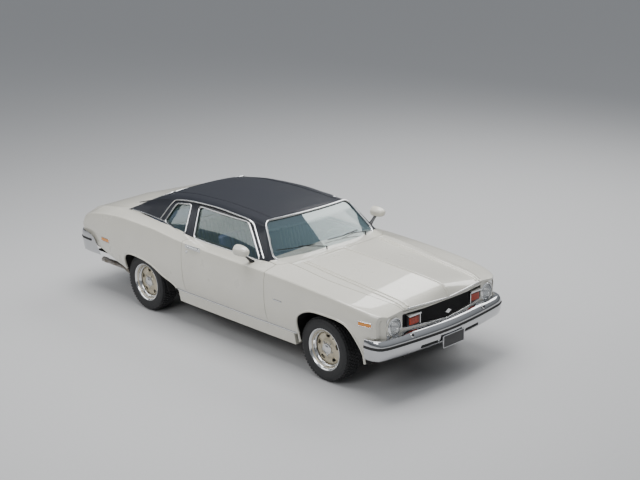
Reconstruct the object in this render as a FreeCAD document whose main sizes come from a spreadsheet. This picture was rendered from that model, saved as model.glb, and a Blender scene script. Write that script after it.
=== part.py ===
import FreeCAD, Part
import math
import os
import re
import Sketcher
from FreeCAD import Placement, Rotation, Vector

# A compact two-door coupe of the early 1970s, built as separate panels.
# X is across the car with the driver's side at +X, the nose points to -Y, and Z is up.
# Lengths along the car are counted from the front axle while a piece is made,
# and the last step shifts every piece so that the origin is under the middle of the car.

doc = FreeCAD.newDocument("coupe")
sheet = doc.addObject("Spreadsheet::Sheet", "sizes")

SIZES = {
    "wheelbase": 2819,
    "front_overhang": 880,
    "rear_overhang": 1235,
    "body_width": 1839,
    "roof_top": 1370,
    "roof_edge": 1312,
    "belt_z": 972,
    "sill_top": 402,
    "sill_base": 262,
    "cowl_z": 985,
    "deck_z": 1022,
    "tyre_radius": 318,
    "tyre_width": 200,
    "rim_radius": 168,
    "barrel_radius": 206,
    "rim_width": 168,
    "track": 1500,
    "slot_count": 5,
    "slot_length": 66,
    "slot_width": 34,
    "slot_pitch": 126,
    "hub_bore": 25.1,
    "hub_play": 0.1,
    "cap_radius": 48,
    "disc_radius": 132,
    "disc_thick": 14,
    "kingpin_inset": 60,
    "hub_back": 40,
    "disc_back": 16,
    "disc_front": 30,
    "ring_edge": 6,
    "shoulder_drop": 14,
    "panel_wall": 26,
    "panel_gap": 6,
    "door_front": 756,
    "door_rear": 2043,
    "seat_side_room": 87,
    "sill_lip": 14,
    "knuckle_radius": 6,
    "knuckle_length": 12,
    "pin_radius": 2.5,
    "pin_play": 0.05,
    "pillar_wall": 40,
    "glass_thick": 6,
    "seat_clear": 0.4,
    "grille_half": 560,
    "grille_top": 806,
    "grille_base": 628,
    "lamp_half": 655,
    "lamp_z": 694,
    "lamp_radius": 86,
    "turn_half": 436,
    "turn_width": 150,
    "turn_height": 74,
    "bumper_front_z": 410,
    "bumper_front_top": 604,
    "bumper_rear_z": 478,
    "bumper_rear_top": 704,
    "arch_front_top": 706,
    "arch_rear_top": 627,
    "floor_z": 268,
    "floor_wall": 14,
    "trunk_floor_z": 446,
    "tunnel_half": 130,
    "tunnel_top": 420,
    "seat_width": 1330,
    "seat_base_z": 300,
    "cushion_height": 190,
    "cushion_depth": 510,
    "back_height": 560,
    "back_thick": 110,
    "rear_seat_width": 1180,
    "dash_clear": 62,
    "front_seat_y": 1270,
    "rear_seat_y": 2080,
    "steering_wheel_radius": 195,
    "steering_wheel_grip": 14,
    "engine_length": 620,
    "engine_width": 540,
    "engine_height": 480,
    "rail_half": 395,
    "rail_width": 70,
    "rail_height": 90,
    "rail_z": 300,
    "axle_tube_radius": 38,
    "diff_radius": 112,
    "arm_z": 160,
    "arm_thick": 18,
    "spring_half": 545,
    "spring_width": 64,
    "tank_length": 560,
    "tank_width": 900,
    "tank_height": 190,
    "pipe_radius": 28,
    "pipe_wall": 2,
    "mirror_half": 955,
}

for row, (name, value) in enumerate(SIZES.items(), start=1):
    sheet.set(f"A{row}", name)
    sheet.set(f"B{row}", str(value))
    sheet.setAlias(f"B{row}", name)
doc.recompute()


def size(name):
    return float(sheet.get(name))


# The pieces made from primitives, sketches and features follow the sheet by formulas in its
# own words. ROW takes a length counted from the front axle to the car's own origin.
ROW = "(front_overhang - wheelbase - rear_overhang) / 2"


def worded(formula):
    """A formula in the sheet's words, as the document's expressions write it."""
    return re.sub(r"[a-z]\w*", lambda word: "sizes." + word.group(0), formula)


def value_of(formula):
    return float(sheet.evalExpression(worded(formula)))


def tie_place(piece, x, y, z):
    """Ties a piece's place to the sheet, counted from the front axle on the ground."""
    for axis, formula in zip("xyz", (x, f"{y} + {ROW}", z)):
        piece.setExpression(f"Placement.Base.{axis}", worded(formula))


def tied_block(name, x, y, z):
    """A block between two formulas along each axis."""
    piece = doc.addObject("Part::Box", name)
    for side, (low, high) in zip(("Length", "Width", "Height"), (x, y, z)):
        piece.setExpression(side, worded(f"({high}) - ({low})"))
    tie_place(piece, x[0], y[0], z[0])
    return piece


def tied_rod(name, radius, length, place, run):
    """A round bar of a radius and a length, from a place along a direction."""
    piece = doc.addObject("Part::Cylinder", name)
    piece.Placement = Placement(Vector(), Rotation(Vector(0, 0, 1), run))
    piece.setExpression("Radius", worded(radius))
    piece.setExpression("Height", worded(length))
    tie_place(piece, *place)
    return piece


def joined(name, pieces):
    """Several pieces of the document fused to one."""
    whole = doc.addObject("Part::MultiFuse", name)
    whole.Shapes = pieces
    return whole


def less(name, base, tool):
    """One piece of the document cut by another."""
    rest = doc.addObject("Part::Cut", name)
    rest.Base = base
    rest.Tool = tool
    return rest


def reflected(name, source):
    """The mirror image of a piece across the middle of the car."""
    twin = doc.addObject("Part::Mirroring", name)
    twin.Source = source
    twin.Normal = Vector(1, 0, 0)
    return twin


def outline_sketch(body, role, name, points):
    """A closed outline on one of the body's own planes; each point is a pair of formulas."""
    sketch = body.newObject("Sketcher::SketchObject", name)
    plane = [feature for feature in body.Origin.OriginFeatures if feature.Role == role][0]
    sketch.AttachmentSupport = [(plane, "")]
    sketch.MapMode = "FlatFace"
    corners = [Vector(value_of(across), value_of(up), 0) for across, up in points]
    count = len(points)
    for i in range(count):
        sketch.addGeometry(Part.LineSegment(corners[i], corners[(i + 1) % count]))
    for i in range(count):
        sketch.addConstraint(Sketcher.Constraint("Coincident", i, 2, (i + 1) % count, 1))
    for i, pair in enumerate(points):
        for kind, formula, now in zip(("DistanceX", "DistanceY"), pair, corners[i]):
            number = sketch.addConstraint(Sketcher.Constraint(kind, i, 1, now))
            sketch.setExpression(f"Constraints[{number}]", worded(formula))
    return sketch


def side_body(name, points, width, fillet="0"):
    """A body padded both ways from the middle of the car on a side outline, with rolled edges."""
    body = doc.addObject("PartDesign::Body", name)
    pad = body.newObject("PartDesign::Pad", name + "_pad")
    pad.Profile = outline_sketch(body, "YZ_Plane", name + "_side", points)
    pad.SideType = "Symmetric"
    pad.setExpression("Length", worded(width))
    body.setExpression("Placement.Base.y", worded(ROW))
    if fillet != "0":
        doc.recompute()
        rolled = body.newObject("PartDesign::Fillet", name + "_edges")
        across = [f"Edge{i}" for i, edge in enumerate(pad.Shape.Edges, start=1)
                  if abs(edge.tangentAt(edge.FirstParameter).x) > 0.999]
        rolled.Base = (pad, across)
        rolled.setExpression("Radius", worded(fillet))
        body.Tip = rolled
    return body


def turned_body(name, points):
    """A body turned about its own X axis on an outline of (along, radius) formulas."""
    body = doc.addObject("PartDesign::Body", name)
    turn = body.newObject("PartDesign::Revolution", name + "_turn")
    outline = outline_sketch(body, "XZ_Plane", name + "_outline", points)
    turn.Profile = outline
    turn.ReferenceAxis = (outline, ["H_Axis"])
    turn.Angle = 360
    body.Tip = turn
    return body


def pattern_cut(body, name, points, copies):
    """Cuts an outline through the body along X, and repeats the cut round the X axis."""
    outline = outline_sketch(body, "YZ_Plane", name + "_outline", points)
    cut = body.newObject("PartDesign::Pocket", name)
    cut.Profile = outline
    cut.Type = "ThroughAll"
    cut.SideType = "Symmetric"
    body.Tip = cut
    repeat = body.newObject("PartDesign::PolarPattern", name + "_pattern")
    repeat.Originals = [cut]
    repeat.Axis = (outline, ["N_Axis"])
    repeat.Angle = 360
    repeat.setExpression("Occurrences", worded(copies))
    body.Tip = repeat


WHEELBASE = size("wheelbase")
HALF_WIDTH = size("body_width") / 2
TAIL = WHEELBASE + size("rear_overhang")
NOSE = -size("front_overhang")
SHIFT = -(TAIL + NOSE) / 2
BELT = size("belt_z")
SILL_TOP = size("sill_top")
COWL = size("cowl_z")
DECK = size("deck_z")
ROOF = size("roof_top")
ROOF_EDGE = size("roof_edge")
DOOR_FRONT = size("door_front")
DOOR_REAR = size("door_rear")
WALL = size("panel_wall")
GAP = size("panel_gap")
SEAT = size("seat_clear")
DOOR_INNER = size("seat_width") / 2 + size("seat_side_room")
SILL_INNER = DOOR_INNER - size("sill_lip")


def through(points):
    """A smooth function of the place along the car that passes through the given points."""
    ys = [p[0] for p in points]
    vs = [p[1] for p in points]
    last = len(ys) - 1
    rise = [(vs[i + 1] - vs[i]) / (ys[i + 1] - ys[i]) for i in range(last)]
    slope = [rise[0]]
    for i in range(1, last):
        a, b = rise[i - 1], rise[i]
        slope.append(0 if a * b <= 0 else 2 * a * b / (a + b))
    slope.append(rise[-1])

    def value(y):
        y = min(max(y, ys[0]), ys[-1])
        i = max(k for k in range(last) if ys[k] <= y)
        span = ys[i + 1] - ys[i]
        u = (y - ys[i]) / span
        rest = 1 - u
        ends = vs[i] * rest * rest * (1 + 2 * u) + vs[i + 1] * u * u * (3 - 2 * u)
        return ends + span * u * rest * (slope[i] * rest - slope[i + 1] * u)

    return value


# The lower body is described by five lines that run from nose to tail:
# the widest line of the side, the crease under the shoulder, the edge of the hood,
# belt and deck, and the middle of the car.
half_width = through([
    (NOSE - 20, HALF_WIDTH - 270), (NOSE + 90, HALF_WIDTH - 172), (NOSE + 140, HALF_WIDTH - 122),
    (NOSE + 187, HALF_WIDTH - 88), (NOSE + 280, HALF_WIDTH - 52), (NOSE + 480, HALF_WIDTH - 26),
    (0, HALF_WIDTH - 12), (600, HALF_WIDTH - 5), (1300, HALF_WIDTH), (DOOR_REAR, HALF_WIDTH),
    (WHEELBASE - 100, HALF_WIDTH - 6), (WHEELBASE + 400, HALF_WIDTH - 18),
    (TAIL - 450, HALF_WIDTH - 36), (TAIL - 200, HALF_WIDTH - 58), (TAIL - 50, HALF_WIDTH - 76),
])
crease_z = through([
    (NOSE - 20, COWL - 225), (NOSE + 140, COWL - 183), (NOSE + 187, COWL - 168),
    (NOSE + 480, COWL - 118), (0, COWL - 84), (DOOR_FRONT, COWL - 52), (1400, BELT - 28),
    (DOOR_REAR, BELT - 10), (2300, BELT + 8), (2600, DECK - 20), (WHEELBASE + 240, DECK - 14),
    (TAIL - 650, DECK - 38), (TAIL - 330, DECK - 88), (TAIL - 150, DECK - 140), (TAIL - 50, DECK - 185),
])
edge_x = through([
    (NOSE - 20, 510), (NOSE + 140, 560), (NOSE + 380, 598), (92, 660), (660, 655), (870, 728),
    (1000, 738), (2600, 738), (WHEELBASE + 180, 730), (TAIL - 720, 704), (TAIL - 150, 676),
    (TAIL - 50, 668),
])
edge_z = through([
    (NOSE - 20, COWL - 250), (NOSE + 70, COWL - 186), (NOSE + 138, COWL - 149), (NOSE + 187, COWL - 127),
    (NOSE + 280, COWL - 110), (NOSE + 380, COWL - 100), (92, COWL - 48), (660, COWL), (870, COWL),
    (1000, BELT), (DOOR_REAR, BELT + 12), (2600, DECK), (WHEELBASE + 180, DECK + 6),
    (TAIL - 650, DECK - 4), (TAIL - 350, DECK - 36), (TAIL - 170, DECK - 74), (TAIL - 50, DECK - 120),
])
middle_z = through([
    (NOSE - 20, COWL - 230), (NOSE + 69, COWL - 152), (NOSE + 105, COWL - 88), (NOSE + 153, COWL - 51),
    (NOSE + 380, COWL - 28), (-194, COWL - 10), (565, COWL + 20), (870, COWL + 24),
    (1400, BELT + 38), (2600, DECK + 18), (TAIL - 750, DECK + 28), (TAIL - 450, DECK),
    (TAIL - 200, DECK - 38), (TAIL - 110, DECK - 68), (TAIL - 50, DECK - 120),
])
WIDEST_Z = 700
ROCKER_TUCK = 44
SILL_TUCK = 70

BODY_STATIONS = [
    NOSE - 20, NOSE + 60, NOSE + 110, NOSE + 160, NOSE + 240, NOSE + 380, -150, 350, 655, 870, 1400,
    DOOR_REAR, 2600, WHEELBASE + 180, TAIL - 650, TAIL - 350, TAIL - 170, TAIL - 50,
]


def body_section(y, inset):
    """One closed section across the lower body, moved inwards by the inset."""
    wide = half_width(y) - inset
    crease = crease_z(y) - 0.8 * inset
    ex = edge_x(y) - 0.3 * inset
    ez = edge_z(y) - inset
    mid = middle_z(y) - inset
    rocker = wide - ROCKER_TUCK
    sill = wide - SILL_TUCK
    base = size("sill_base") + inset

    def side(s):
        def at(x, z):
            return Vector(s * x, y, z)

        low = Part.Arc(at(rocker, SILL_TOP), at(wide - 7, SILL_TOP + 150), at(wide, WIDEST_Z))
        high_mid = at(wide - 4, (WIDEST_Z + crease) / 2 + 20)
        high = Part.Arc(at(wide, WIDEST_Z), high_mid, at(wide - 20, crease))
        return [
            Part.makeLine(at(sill, base), at(rocker, SILL_TOP)),
            low.toShape(),
            high.toShape(),
            Part.makeLine(at(wide - 20, crease), at(ex, ez)),
            Part.makeLine(at(ex, ez), at(0, mid)),
        ]

    bottom = Part.makeLine(Vector(-sill, y, base), Vector(sill, y, base))
    return Part.Wire(Part.__sortEdges__([bottom] + side(1) + side(-1)[::-1]))


def body_form(inset):
    """The lower body as one solid, inset to give the inner face of the panels."""
    return Part.makeLoft([body_section(y, inset) for y in BODY_STATIONS], True, True)


def rounded(points, radius):
    """Edges of a closed flat outline whose corners are arcs of the given radius."""
    count = len(points)
    starts, ends, mids = [], [], []
    for i in range(count):
        before, corner, after = points[i - 1], points[i], points[(i + 1) % count]
        u = (before - corner).normalize()
        v = (after - corner).normalize()
        half = math.acos(max(-1, min(1, u.dot(v)))) / 2
        r = radius[i] if isinstance(radius, (list, tuple)) else radius
        cut = r / math.tan(half)
        starts.append(corner + u * cut)
        ends.append(corner + v * cut)
        bisector = (u + v).normalize() if half < math.pi / 2 - 1e-4 else u * 0
        mids.append(corner + bisector * (r / math.sin(half) - r))
    edges = []
    for i in range(count):
        if starts[i].distanceToPoint(ends[i]) > 0.01:
            edges.append(Part.Arc(starts[i], mids[i], ends[i]).toShape())
        following = starts[(i + 1) % count]
        if ends[i].distanceToPoint(following) > 0.01:
            edges.append(Part.makeLine(ends[i], following))
    return edges


def side_prism(outline, x_from, x_to, radius=0.0):
    """A solid that runs across the car from a side outline of (y, z) points."""
    points = [Vector(x_from, y, z) for y, z in outline]
    edges = rounded(points, radius)
    face = Part.Face(Part.Wire(edges))
    return face.extrude(Vector(x_to - x_from, 0, 0))


def plan_prism(outline, z_from, z_to, radius=0.0):
    """A solid that stands on a plan outline of (x, y) points."""
    edges = rounded([Vector(x, y, z_from) for x, y in outline], radius)
    return Part.Face(Part.Wire(edges)).extrude(Vector(0, 0, z_to - z_from))


def front_prism(outline, y_from, y_to, radius=0.0):
    """A solid that runs along the car from a front outline of (x, z) points."""
    edges = rounded([Vector(x, y_from, z) for x, z in outline], radius)
    return Part.Face(Part.Wire(edges)).extrude(Vector(0, y_to - y_from, 0))


def block(x0, x1, y0, y1, z0, z1):
    return Part.makeBox(x1 - x0, y1 - y0, z1 - z0, Vector(x0, y0, z0))


def mirrored(shape):
    return shape.mirror(Vector(0, 0, 0), Vector(1, 0, 0))


def rod(a, b, radius):
    """A round bar between two points."""
    return Part.makeCylinder(radius, a.distanceToPoint(b), a, b - a)


def bar(a, b, half):
    """A square bar between two points."""
    run = b - a
    shape = Part.makeBox(2 * half, 2 * half, run.Length, Vector(-half, -half, 0))
    shape.Placement = Placement(a, Rotation(Vector(0, 0, 1), run))
    return shape


def bent_pipe(points, radius):
    """A round bar along a line of points, mitred at the bends."""
    path = Part.makePolygon(points)
    ring = Part.Wire(Part.makeCircle(radius, points[0], points[1] - points[0]))
    return path.makePipeShell([ring], True, False, 1)


def turned_along(profile):
    """A form turned about a line along the car from (radius, along) points."""
    points = [Vector(radius, along, 0) for radius, along in profile]
    face = Part.Face(Part.makePolygon(points + [points[0]]))
    return face.revolve(Vector(0, 0, 0), Vector(0, 1, 0), 360)


def both(shape):
    return Part.Compound([shape, mirrored(shape)])


def hinge(start, run):
    """The shapes of a small barrel hinge that begins at a point and runs along a unit vector.

    It gives the two outer knuckles with their pin, the room cut for them in the moving panel,
    the middle knuckle, the room cut for it in the fixed panel, and the middle knuckle's bore.
    """
    radius = size("knuckle_radius")
    length = size("knuckle_length")
    pin_r = size("pin_radius")
    first = Part.makeCylinder(radius, length, start, run)
    last = Part.makeCylinder(radius, length, start + run * (2 * length), run)
    pin = Part.makeCylinder(pin_r, 3 * length, start, run)
    outer_room = Part.makeCylinder(radius + 1, length + 1, start - run * 0.5, run)
    far_room = Part.makeCylinder(radius + 1, length + 1, start + run * (2 * length - 0.5), run)
    outer_room = outer_room.fuse(far_room)
    middle = Part.makeCylinder(radius, length - 1, start + run * (length + 0.5), run)
    middle_room = Part.makeCylinder(radius + 1, length, start + run * length, run)
    bore = Part.makeCylinder(pin_r + size("pin_play"), 3 * length, start, run)
    return first.fuse([last, pin]), outer_room, middle, middle_room, bore


def fixed_side(panel, hinges):
    """The body's panel with its outer knuckles and pins."""
    for knuckles, outer_room, middle, middle_room, bore in hinges:
        panel = panel.cut(middle_room).fuse(knuckles)
    return panel


def moving_side(panel, hinges):
    """The opening panel with its middle knuckles, bored for the pins."""
    for knuckles, outer_room, middle, middle_room, bore in hinges:
        panel = panel.cut(outer_room).fuse(middle).cut(bore)
    return panel


nodes = {}


def keep(name, shape):
    """Store a finished piece as an object of the document, shifted to the car's own origin."""
    if shape.ShapeType == "Compound" and len(shape.Solids) == 1:
        shape = shape.Solids[0]
    piece = doc.addObject("Part::Feature", name)
    piece.Label = name
    piece.Shape = shape
    piece.Placement = Placement(Vector(0, SHIFT, 0), Rotation()).multiply(shape.Placement)
    nodes[name] = piece
    return piece


def keep_piece(name, piece):
    """Name a finished piece of the document as a node."""
    piece.Label = name
    nodes[name] = piece
    return piece


def from_axle(piece):
    """A finished piece's shape, counted from the front axle as the panels are."""
    doc.recompute()
    shape = piece.Shape.copy()
    shape.translate(Vector(0, -SHIFT, 0))
    return shape


outer = body_form(0)
skin = outer.cut(body_form(WALL))

# Side outlines of the panels, as (y, z) points.
FAR = 1200
ARCH_FRONT = [
    (-516, 300), (-516, 430), (-500, 490), (-474, 545), (-438, 600), (-392, 646), (-330, 682),
    (-240, 700), (-130, size("arch_front_top")), (20, size("arch_front_top") - 1), (125, 694), (225, 656),
    (295, 600), (318, 540), (322, 470), (322, 300),
]
ARCH_REAR = [
    (2195, 300), (2212, 410), (2240, 440), (2318, 474), (2390, 496), (2459, 525), (2530, 559), (2600, 588),
    (2680, 606), (2750, 618), (2900, size("arch_rear_top")), (3010, 622), (3070, 604), (3112, 572),
    (3132, 530), (3138, 470), (3138, 300),
]
FENDER_SIDE = [
    (NOSE - 30, SILL_TOP + 212), (-660, SILL_TOP + 206), (-610, SILL_TOP + 120), (-570, SILL_TOP),
    (DOOR_FRONT - GAP, SILL_TOP),
    (DOOR_FRONT - GAP, 1100), (NOSE - 30, 1100),
]
DOOR_SIDE = [
    (DOOR_FRONT, SILL_TOP + GAP), (DOOR_REAR, SILL_TOP + GAP), (DOOR_REAR, 1100), (DOOR_FRONT, 1100),
]
QUARTER_SIDE = [
    (DOOR_REAR + GAP, SILL_TOP), (WHEELBASE + 300, SILL_TOP), (TAIL - 485, 548), (TAIL - 100, 600),
    (TAIL - 96, 700), (TAIL - 80, 764), (TAIL - 104, 831), (TAIL - 156, 900), (TAIL - 178, 1200),
    (DOOR_REAR + GAP, 1200),
]
HOOD_EDGE = [(532, NOSE + 30), (560, NOSE + 140), (598, NOSE + 380), (661, 92), (655, 640)]
HOOD_REAR_MID = 566
HOOD_REAR = 652
NOSE_PLAN = [
    (0, NOSE + 62), (300, NOSE + 86), (543, NOSE + 128), (745, NOSE + 144), (802, NOSE + 182),
    (960, NOSE + 260),
]


def mirrored_plan(points):
    """The points of one side and then the same points of the other side, back to the start."""
    return points + [(-x, y) for x, y in points[::-1]]


def offset_plan(points, dx, dy):
    return [(x + dx if x > 0 else x, y + dy) for x, y in points]


nose_room = plan_prism(mirrored_plan(NOSE_PLAN + [(960, 2000)])[1:-1] + [NOSE_PLAN[0]], 100, 1300)
skin_trimmed = skin.common(nose_room)

# The hood lies between the fenders, from the rolled lip at the nose to the cowl.
hood_plan = offset_plan(HOOD_EDGE, -GAP / 2, 0)
hood_outline = [(HOOD_EDGE[0][0], NOSE - 40)] + hood_plan + [(HOOD_EDGE[-1][0] - GAP / 2, HOOD_REAR)]
hood_outline += [(400, HOOD_REAR - 52), (0, HOOD_REAR_MID)]
hood_outline += [(-x, y) for x, y in hood_outline[-2::-1]]
hood_space = plan_prism(hood_outline, 700, 1200)
hood_shape = skin_trimmed.common(hood_space).common(block(-900, 900, NOSE - 50, 900, COWL - 168, 1200))
HOOD_AXIS = Vector(0, HOOD_REAR - 5, COWL + 3)
HOOD_HINGE_HALF = 600
hood_hinges = [hinge(HOOD_AXIS + Vector(s * HOOD_HINGE_HALF, 0, 0), Vector(s, 0, 0)) for s in (1, -1)]
keep("hood", moving_side(hood_shape, hood_hinges))

# The cowl panel closes the body between the hood and the windshield and carries its pillars.
cowl_rear = 905
cowl_outline = [(0, HOOD_REAR_MID + GAP), (400, HOOD_REAR - 52 + GAP), (650, HOOD_REAR + GAP)]
cowl_outline += [(656, HOOD_REAR + GAP + 12)]
cowl_outline += [(742, DOOR_FRONT - 20), (742, cowl_rear)]
cowl_outline += [(-x, y) for x, y in cowl_outline[:0:-1]]
cowl_top = skin.common(plan_prism(cowl_outline, 800, 1200))
firewall = block(-640, 640, 690, 704, size("rail_z") + size("rail_height"), COWL - 20)
firewall = firewall.common(body_form(WALL))
keep("cowl", fixed_side(cowl_top.fuse(firewall), hood_hinges))

# Each fender wraps from the hood's edge to the sill and from the nose to the door.
fender_outline = [(HOOD_EDGE[0][0] + GAP / 2, NOSE - 40)] + offset_plan(HOOD_EDGE, GAP / 2, 0)
fender_outline += [(656 + GAP, HOOD_REAR + GAP + 12), (742 + GAP, DOOR_FRONT - 20)]
fender_outline += [(742 + GAP, DOOR_FRONT), (FAR, DOOR_FRONT), (FAR, NOSE - 40)]
fender_space = plan_prism(fender_outline, 200, 1200).common(side_prism(FENDER_SIDE, 0, FAR))
fender = skin_trimmed.common(fender_space).cut(side_prism(ARCH_FRONT, 400, FAR))
DOOR_AXIS = Vector(HALF_WIDTH - 2.5, DOOR_FRONT - GAP / 2, 0)
door_hinges = [hinge(DOOR_AXIS + Vector(0, 0, z), Vector(0, 0, 1)) for z in (WIDEST_Z - 60, WIDEST_Z + 45)]
keep("fenders", both(fixed_side(fender, door_hinges)))

# The roof and its pillars: a crowned form cut at both ends by the curved glass planes.
edge_line = through([
    (500, ROOF_EDGE - 110), (900, ROOF_EDGE - 62), (1332, ROOF_EDGE - 28), (1782, ROOF_EDGE),
    (2227, ROOF_EDGE - 10), (2640, ROOF_EDGE - 62), (2900, ROOF_EDGE - 118), (3150, ROOF_EDGE - 185),
    (3300, ROOF_EDGE - 232), (3500, ROOF_EDGE - 300),
])
edge_half = through([
    (500, 640), (900, 618), (1332, 596), (2640, 594), (2900, 606), (3150, 634), (3500, 690),
])
crown_line = through([
    (500, ROOF - 150), (1100, ROOF - 38), (1400, ROOF - 12), (1900, ROOF), (2300, ROOF - 8),
    (2650, ROOF - 40), (3000, ROOF - 85), (3500, ROOF - 180),
])
ROOF_STATIONS = [500, 900, 1150, 1500, 1900, 2300, 2650, 2900, 3150, 3300, 3500]
PILLAR_FOOT = 860


def roof_section(y, inset):
    """One closed section across the roof and its pillars."""
    ex = edge_half(y) - inset
    ez = edge_line(y) - 0.5 * inset
    top = crown_line(y) - inset
    foot = ex + (ez - PILLAR_FOOT) * 0.53

    def side(s):
        def at(x, z):
            return Vector(s * x, y, z)

        shoulder = Part.Arc(at(ex, ez - 26), at(ex - 14, ez + 2), at(ex - 60, ez + 0.3 * (top - ez) + 8))
        crown = Part.Arc(at(ex - 60, ez + 0.3 * (top - ez) + 8), at(ex * 0.5, top - 10), at(0, top))
        return [Part.makeLine(at(foot, PILLAR_FOOT), at(ex, ez - 26)), shoulder.toShape(), crown.toShape()]

    bottom = Part.makeLine(Vector(-foot, y, PILLAR_FOOT), Vector(foot, y, PILLAR_FOOT))
    return Part.Wire(Part.__sortEdges__([bottom] + side(1) + side(-1)[::-1]))


def glass_planes(inset):
    """A solid whose front is the windshield's curved plane and whose back is the rear window's."""
    wires = []
    for z in (PILLAR_FOOT - 20, ROOF + 70):
        up = (z - 1000) / 300
        x_front = 735 - 135 * up
        side_front = 872 + 238 * up + inset
        mid_front = 700 + 360 * up + 1.3 * inset
        back = (z - 1060) / 240
        x_rear = 660 - 90 * back
        side_rear = 3215 - 545 * back - 2.2 * inset
        mid_rear = 3262 - 545 * back - 2.4 * inset
        corners = [
            Vector(x_front, side_front, z), Vector(950, side_front + 60, z),
            Vector(950, side_rear + 150, z), Vector(x_rear, side_rear, z),
        ]
        others = [Vector(-p.x, p.y, p.z) for p in corners]
        edges = [Part.Arc(others[0], Vector(0, mid_front, z), corners[0]).toShape()]
        edges += [Part.makeLine(p, q) for p, q in zip(corners, corners[1:])]
        edges += [Part.Arc(corners[3], Vector(0, mid_rear, z), others[3]).toShape()]
        edges += [Part.makeLine(p, q) for p, q in zip(others[::-1], others[2::-1])]
        wires.append(Part.Wire(edges))
    return Part.makeLoft(wires, True, True)


def roof_form(inset):
    crown = Part.makeLoft([roof_section(y, inset) for y in ROOF_STATIONS], True, True)
    return crown.common(glass_planes(inset))


roof_outer = roof_form(0)
roof_skin = roof_outer.cut(roof_form(size("pillar_wall")))
WINDSHIELD = [(-690, 985), (690, 985), (560, 1292), (-560, 1292)]
REAR_WINDOW = [(-590, 1078), (590, 1078), (530, 1278), (-530, 1278)]
DOOR_GLASS = [(985, 968), (2012, 984), (2093, 1262), (1322, 1246)]
DOOR_FRAME = [(925, 930), (DOOR_REAR - 6, 930), (2040, 990), (2128, 1289), (1312, 1274)]
QUARTER_GLASS = [(2182, 982), (2580, 1032), (2486, 1222), (2240, 1258)]


def grown(outline, margin):
    """A side outline moved outwards by a margin."""
    points = [Vector(y, z, 0) for y, z in outline]
    wire = Part.Wire(Part.makePolygon(points + [points[0]]).Edges)
    moved = wire.makeOffset2D(margin, 2)
    ordered = [v.Point for v in moved.OrderedVertexes]
    return [(v.x, v.y) for v in ordered]


door_glass_space = side_prism(DOOR_GLASS, 400, FAR, 30)
door_frame_space = side_prism(DOOR_FRAME, 400, FAR, [20, 4, 4, 40, 60])
door_opening = side_prism(grown(DOOR_FRAME, GAP), 400, FAR, [10, 4, 4, 40, 60])
quarter_glass_space = side_prism(QUARTER_GLASS, 400, FAR, 30)
windshield_space = front_prism(WINDSHIELD, 300, 1350, 40)
rear_window_space = front_prism(REAR_WINDOW, 2550, 3500, 40)

roof_shape = roof_skin.cut(outer).cut(windshield_space).cut(rear_window_space)
for cutter in (door_opening, quarter_glass_space):
    roof_shape = roof_shape.cut(cutter).cut(mirrored(cutter))
keep("roof_shell", roof_shape)

# The doors are full-thickness shells with a window frame in one piece with them.
door_space = side_prism(DOOR_SIDE, DOOR_INNER, FAR)
door_lower = outer.common(door_space)
door_frame = roof_skin.common(door_frame_space).cut(door_glass_space)
door_frame = door_frame.cut(block(400, FAR, 700, 2300, 0, 935))
mirror_x = size("mirror_half")
mirror_profile = [(0, -78), (34, -60), (52, -20), (56, 20), (52, 34), (0, 34)]
mirror_head = turned_along(mirror_profile)
mirror_head.translate(Vector(mirror_x, 1030, 1098))
mirror_stalk = rod(Vector(mirror_x - 20, 1030, 1070), Vector(815, 1010, 955), 13)
door_shape = moving_side(door_lower.fuse([door_frame, mirror_stalk, mirror_head]), door_hinges)

# The quarters run from the door to the tail, outside the deck lid.
DECK_FRONT = 3372
DECK_REAR = TAIL - 176


def deck_plan(margin):
    """The plan outline of the deck lid, moved outwards by a margin."""
    front, rear = DECK_FRONT - margin, DECK_REAR + margin
    half = 650 + margin
    right = [(-half, rear), (-half + 10, front + 64), (-half + 50, front + 19)]
    return right + [(0, front)] + [(-x, y) for x, y in right[::-1]]


deck_space = plan_prism(deck_plan(0), 800, 1200)
deck_opening = plan_prism(deck_plan(GAP), 700, 1200)
DECK_AXIS = Vector(0, DECK_FRONT - 1.5, DECK + 22)
DECK_HINGE_HALF = 30
deck_hinges = [hinge(DECK_AXIS + Vector(s * DECK_HINGE_HALF, 0, 0), Vector(s, 0, 0)) for s in (1, -1)]
keep("deck_lid", moving_side(skin.common(deck_space), deck_hinges))

cabin_plan = [(738, cowl_rear - 60), (738, 2620), (690, 3060)]
cabin_plan = [(-738, cowl_rear - 60)] + cabin_plan + [(-690, 3060), (-738, 2620)]
cabin_room = plan_prism(cabin_plan, 700, 1200)
quarter_body = skin.common(side_prism(QUARTER_SIDE, -FAR, FAR)).cut(cabin_room)
quarter_body = quarter_body.cut(deck_opening).cut(side_prism(ARCH_REAR, -FAR, FAR))
keep("quarters", fixed_side(quarter_body, deck_hinges))
keep("door_left", door_shape)
keep("door_right", mirrored(door_shape))

# The fixed glass lies in its openings, a little inside the outer face of the roof and its pillars.
GLASS_SET = 8
glass_sheet = roof_form(GLASS_SET).cut(roof_form(GLASS_SET + size("glass_thick")))


def shrunk(outline, margin):
    return grown(outline, -margin)


windshield = glass_sheet.common(front_prism(shrunk(WINDSHIELD, SEAT), 300, 1350, 40 - SEAT)).cut(outer)
rear_glass = glass_sheet.common(front_prism(shrunk(REAR_WINDOW, SEAT), 2550, 3500, 40 - SEAT))
quarter_glass = glass_sheet.common(side_prism(shrunk(QUARTER_GLASS, SEAT), 400, FAR, 30 - SEAT))
quarter_glass = quarter_glass.cut(outer)
keep("fixed_glass", Part.Compound([windshield, rear_glass, quarter_glass, mirrored(quarter_glass)]))
door_pane = glass_sheet.common(side_prism(shrunk(DOOR_GLASS, SEAT), 400, FAR, 30 - SEAT)).cut(outer)
keep("door_glass_left", door_pane)
keep("door_glass_right", mirrored(door_pane))

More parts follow.
